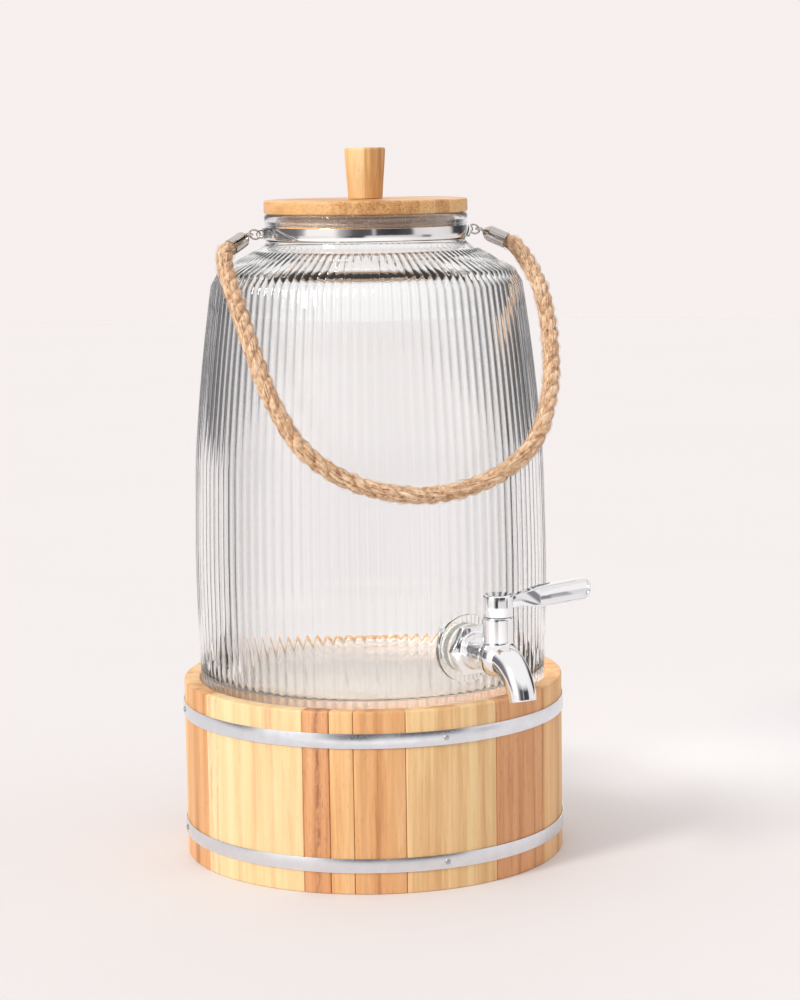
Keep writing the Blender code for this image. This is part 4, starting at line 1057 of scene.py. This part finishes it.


# lid
# the knob's split and shades: the angle of the plane between its painted lit half and painted shaded half, and the
# two painted tones
lidSizes = {"radius": 0.0600, "thickness": 0.0080, "edge": 0.0016, "screwHole": 0.0023, "plug": 0.0520,
            "plugBottom": 0.3715, "sealLow": 0.3745, "sealHigh": 0.3785, "sealLip": 0.0530, "groove": 0.0024,
            "recess": 0.0055, "recessDepth": 0.0035, "knobFoot": 0.0101, "knobTop": 0.0121, "knobHeight": 0.0297,
            "knobHole": 0.0180, "gap": 0.0003, "knobSplit": -31.0, "knobShades": (0.07, -0.15)}


def makeLid():
    s = SimpleNamespace(**lidSizes)
    bore, gap = s.screwHole, s.gap
    turnedPiece("lid_disc", ((bore, s.thickness, 0), (s.radius, s.thickness, s.edge), (s.radius, 0, s.edge),
                             (bore, 0, 0)), atLid, "lid", bamboo, 160, 5)
    bottom, low, high = s.plugBottom - lidZ, s.sealLow - lidZ, s.sealHigh - lidZ
    inner, roof = s.plug - s.groove, bottom + s.recessDepth
    turnedPiece("lid_plug", (
        (bore, -gap, 0), (s.plug, -gap, 0.0004), (s.plug, high + gap, 0.0002), (inner, high + gap, 0),
        (inner, low - gap, 0), (s.plug, low - gap, 0.0002), (s.plug, bottom, 0.0014), (s.recess, bottom, 0.0004),
        (s.recess, roof, 0), (bore, roof, 0)), atLid, "lid", bamboo, 128)
    middle, lip = (low + high) / 2, s.sealLip
    turnedPiece("lid_seal", (
        (inner + gap, high, 0), (lip - 0.0008, high, 0.0002), (lip, middle + 0.0012, 0.0006),
        (lip - 0.0009, middle, 0.0004), (lip, middle - 0.0012, 0.0006), (lip - 0.0008, low, 0.0002),
        (inner + gap, low, 0)), atLid, "lid", sealSilicone, 128)
    foot = s.thickness + gap
    tip, hole = foot + s.knobHeight, foot + s.knobHole
    knob = lathed("lid_knob_visual", rounded((
        (0, tip, 0), (s.knobTop, tip, 0.0016), (s.knobTop - 0.0004, foot + 0.0220, 0.004),
        (s.knobFoot + 0.0005, foot + 0.0080, 0.004), (s.knobFoot, foot, 0.0003), (bore, foot, 0),
        (bore, hole, 0), (0, hole, 0))), 96, atLid)
    # painted light: the half on the camera's left is painted paler as the lit side and the right half darker as the
    # shaded side, split on the upright plane through the axis that the camera sees edge-on
    across = Vector((cos(radians(s.knobSplit)), sin(radians(s.knobSplit)), 0))
    middle = Vector((0, axisY, 0))
    litAndShadedTones = [s.knobShades[(vert.co - middle).dot(across) > 0] for vert in knob.data.vertices]
    knob.data.attributes.new("plankShade", "FLOAT", "POINT").data.foreach_set("value", litAndShadedTones)
    knob.data.attributes.new("plankSeed", "FLOAT", "POINT").data.foreach_set("value", [8 * x for x in litAndShadedTones])
    finished(knob, "lid", bambooKnob)


makeLid()
print("dispenser: lid made")


# neck band and lugs
bandSizes = {"low": 0.3660, "high": 0.3732, "radius": 0.0593, "thickness": 0.0011, "earReach": 0.0685,
             "halfGap": 2.6, "bend": 0.0012, "steps": 200, "edge": 0.0003, "screw": 0.0017, "screwIn": 0.0036,
             "lugHalfArc": 30, "lugGap": 0.0004, "lugInset": 0.0002, "lugThickness": 0.0010, "eyePlate": 0.0008,
             "eyeRadius": 0.0019, "eyeRim": 0.00065, "lugEye": 0.0643, "ringRadius": 0.0033, "ringWire": 0.0006,
             "ringTilt": 52.5}


def stripPiece(path, low, high, thickness, edge):
    # an upright sheet strip whose inner face follows the path; high may change along it
    line = [Vector((x, y, 0)) for x, y in path]
    frames = []
    for i in range(len(line)):
        ahead = line[min(i + 1, len(line) - 1)] - line[max(i - 1, 0)]
        frames.append((Vector((ahead.y, -ahead.x, 0)).normalized(), upright))

    def section(i):
        top = high(i) if callable(high) else high
        return rounded(((0, low, edge), (thickness, low, edge), (thickness, top, edge), (0, top, edge)), steps=2,
                       closed=True)

    return swept(line, frames, section)


def makeBand():
    s = SimpleNamespace(**bandSizes)
    angles = [radians(s.halfGap + (360 - 2 * s.halfGap) * i / s.steps) for i in range(s.steps + 1)]
    path = [(s.radius * cos(a), s.radius * sin(a)) for a in angles]
    x, y = path[0]
    head = [(s.earReach, y), (x + s.bend * 1.6, y), (x + s.bend * 0.5, y + s.bend * 0.1)]
    path = head + path[3:-3] + [(x, -y) for x, y in head[::-1]]
    place = atAxis @ rolled(handleAzimuth, "Z")
    band = built("neck_band_visual", stripPiece(path, s.low, s.high, s.thickness, s.edge), place)
    hole = place @ moved(s.earReach - s.screwIn, 0, (s.low + s.high) / 2) @ rolled(-90, "X")
    drill = lathed("drill", ((0, -0.02), (s.screw, -0.02), (s.screw, 0.02), (0, 0.02)), 24, hole)
    return finished(combined(band, [drill], "DIFFERENCE"), "body", polishedSteel)


def makeLug(node, azimuth):
    # a fan-shaped plate on the band, with a flat tongue and an eye for the ring
    s = SimpleNamespace(**bandSizes)
    inner = s.radius + s.thickness + s.lugGap
    angles = range(-s.lugHalfArc, s.lugHalfArc + 1)
    path = [(inner * cos(radians(a)), inner * sin(radians(a))) for a in angles]
    low, rise = s.low + s.lugInset, s.high - s.low - 2 * s.lugInset

    def top(i):
        share = 1 - abs(angles[i]) / s.lugHalfArc
        return low + rise * min(1.0, 0.16 + 1.05 * sin(share * pi / 2))

    place = atAxis @ rolled(azimuth - 90, "Z")
    lug = built(node + "_visual", stripPiece(path, low, top, s.lugThickness, s.lugInset), place)
    at = place @ moved(0, 0, hingeZ) @ rolled(90, "X")
    rim, half = s.eyeRadius + s.eyeRim, s.eyePlate / 2
    start = inner + s.lugThickness / 2
    tongue = boxed("tongue", (s.lugEye - start, 2 * rim, 2 * half), moved((s.lugEye + start) / 2))
    tongue.data.transform(at)
    eyeAt = at @ moved(s.lugEye)
    eye = lathed("eye", rounded(((0, half, 0), (rim, half, 0.0002), (rim, -half, 0.0002), (0, -half, 0))), 40, eyeAt)
    hole = lathed("hole", ((0, -0.002), (s.eyeRadius, -0.002), (s.eyeRadius, 0.002), (0, 0.002)), 40, eyeAt)
    lug = combined(combined(lug, [tongue, eye], "UNION"), [hole], "DIFFERENCE")
    return finished(lug, "body", polishedSteel)


def makeRing(node, side):
    s = SimpleNamespace(**bandSizes)
    place = atHandle @ moved(side * (s.lugEye + s.ringRadius)) @ rolled(s.ringTilt, "X")
    ring = lathed(node + "_visual", circle(s.ringWire, 20, s.ringRadius), 64, place, closed=True)
    return finished(ring, node, linkSteel)


makeBand()
makeLug("lug_right", handleAzimuth)
makeLug("lug_left", handleAzimuth + 180)
makeRing("ring_right", 1)
makeRing("ring_left", -1)
print("dispenser: band, lugs and rings made")


# floor, world and light
studio = {"floor": (0.785, 0.755, 0.762), "floorRadius": 2.6, "floorFront": 0.36, "back": (0.925, 0.867, 0.862),
          "world": 1.0, "facing": cameraView["azimuth"], "ceiling": (1.0, 0.99, 0.98), "under": (0.72, 0.68, 0.67)}
key = {"azimuth": -81, "elevation": 32, "angle": 14, "power": 1.6, "color": (1.0, 0.96, 0.90)}
# how bright the room is at eye height, by degrees round from the camera's side; minus is its left
roomBands = ((-180, 1.04), (-164, 1.0), (-155, 0.50), (-145, 0.18), (-124, 0.10), (-117, 0.45), (-112, 0.16),
             (-84, 0.20), (-76, 0.40), (-69, 1.15), (-36, 1.15), (-29, 0.55), (-20, 0.30), (-14, 0.12), (-4, 0.10),
             (6, 0.12), (9, 0.75), (12, 0.08), (30, 0.05), (52, 0.10), (57, 0.85), (84, 0.95), (108, 0.85),
             (116, 0.07), (134, 0.05), (144, 0.18), (154, 0.40), (164, 1.0), (180, 1.04))
# the same below table height, where the near edge of the table and the things before it show
tableBands = ((-180, 1.0), (-150, 0.95), (-130, 0.85), (-100, 0.70), (-84, 0.25), (-78, 0.95), (-36, 1.05),
              (-26, 0.45), (-18, 0.06), (-3, 0.05), (1, 0.85), (48, 0.80), (53, 0.78), (64, 0.75), (67, 0.28),
              (76, 0.25), (80, 0.95), (122, 0.90), (130, 0.06), (146, 0.08), (156, 0.7), (180, 1.0))
# and lower still, which is what the hoops reflect
floorBands = ((-180, 0.5), (-165, 0.2), (-96, 0.16), (-85, 1.3), (20, 1.3), (60, 1.0), (112, 0.95), (122, 0.30),
              (150, 0.25), (165, 0.3), (180, 0.5))
# the heights, as the sine of the angle up, over which one level gives way to the next
levels = {"ceiling": (0.30, 0.55), "table": (-0.095, -0.055), "floor": (-0.200, -0.172), "under": (-0.62, -0.42)}


def makeFloor():
    # a round table whose near edge lies just in front of the stand
    s = SimpleNamespace(**studio)
    away, turn = s.floorRadius - s.floorFront, radians(s.facing)
    floor = lathed("floor", ((0, 0), (s.floorRadius, 0)), 96, moved(-away * sin(turn), axisY + away * cos(turn)))
    material, tree, shader = newMaterial("paleFloor", 0.75)
    cloud = noise(tree, seen(tree), 3, 2, 0.5)
    low = tuple(part * 0.99 for part in s.floor)
    feed(tree, shader, {"Specular IOR Level": 0.2, "Base Color": ramp(tree, cloud, ((0.3, low), (0.7, s.floor)))})
    floor.data.materials.append(material)


def makeWorld():
    world = bpy.data.worlds.new("studio")
    bpy.context.scene.world = world
    world.use_nodes = True
    tree = world.node_tree
    toward = result(tree, "ShaderNodeMapping", {0: seen(tree, "Generated"),
                                                "Rotation": (0, 0, -radians(studio["facing"]))})
    x, y, z = partsOf(tree, toward)
    place = plus(tree, divided(tree, math2(tree, "ARCTAN2", x, times(tree, y, -1.0)), 2 * pi), 0.5)

    def walls(bands):
        # shaded walls look faintly violet, lit ones faintly warm
        return ramp(tree, place, [((turn + 180) / 360, (level, level * 0.97, level * (1.05 - 0.08 * level)))
                                  for turn, level in bands])

    room = mixed(tree, ranged(tree, z, *levels["ceiling"], 0.0, 1.0), walls(roomBands), (*studio["ceiling"], 1))
    for level, look in (("table", walls(tableBands)), ("floor", walls(floorBands)), ("under", (*studio["under"], 1))):
        room = mixed(tree, ranged(tree, z, *levels[level], 1.0, 0.0), room, look)
    # the room lights and mirrors; straight behind the object there is one plain tone
    path = addNode(tree, "ShaderNodeLightPath")
    color = mixed(tree, path.outputs["Is Camera Ray"], room, (*studio["back"], 1))
    feed(tree, tree.nodes["Background"], {"Strength": studio["world"], "Color": color})


def makeKey():
    s = SimpleNamespace(**key)
    sun = addObject("key", bpy.data.lights.new("key", "SUN"))
    sun.data.energy = s.power
    sun.data.angle = radians(s.angle)
    sun.data.color = s.color
    turn, rise = outward(s.azimuth), radians(s.elevation)
    aim = Vector((cos(turn) * cos(rise), sin(turn) * cos(rise), sin(rise)))
    sun.matrix_world = aim.to_track_quat("Z", "Y").to_matrix().to_4x4()


makeFloor()
makeWorld()
makeKey()
bpy.context.scene.view_settings.view_transform = "Standard"
print("dispenser: stage and lights set")
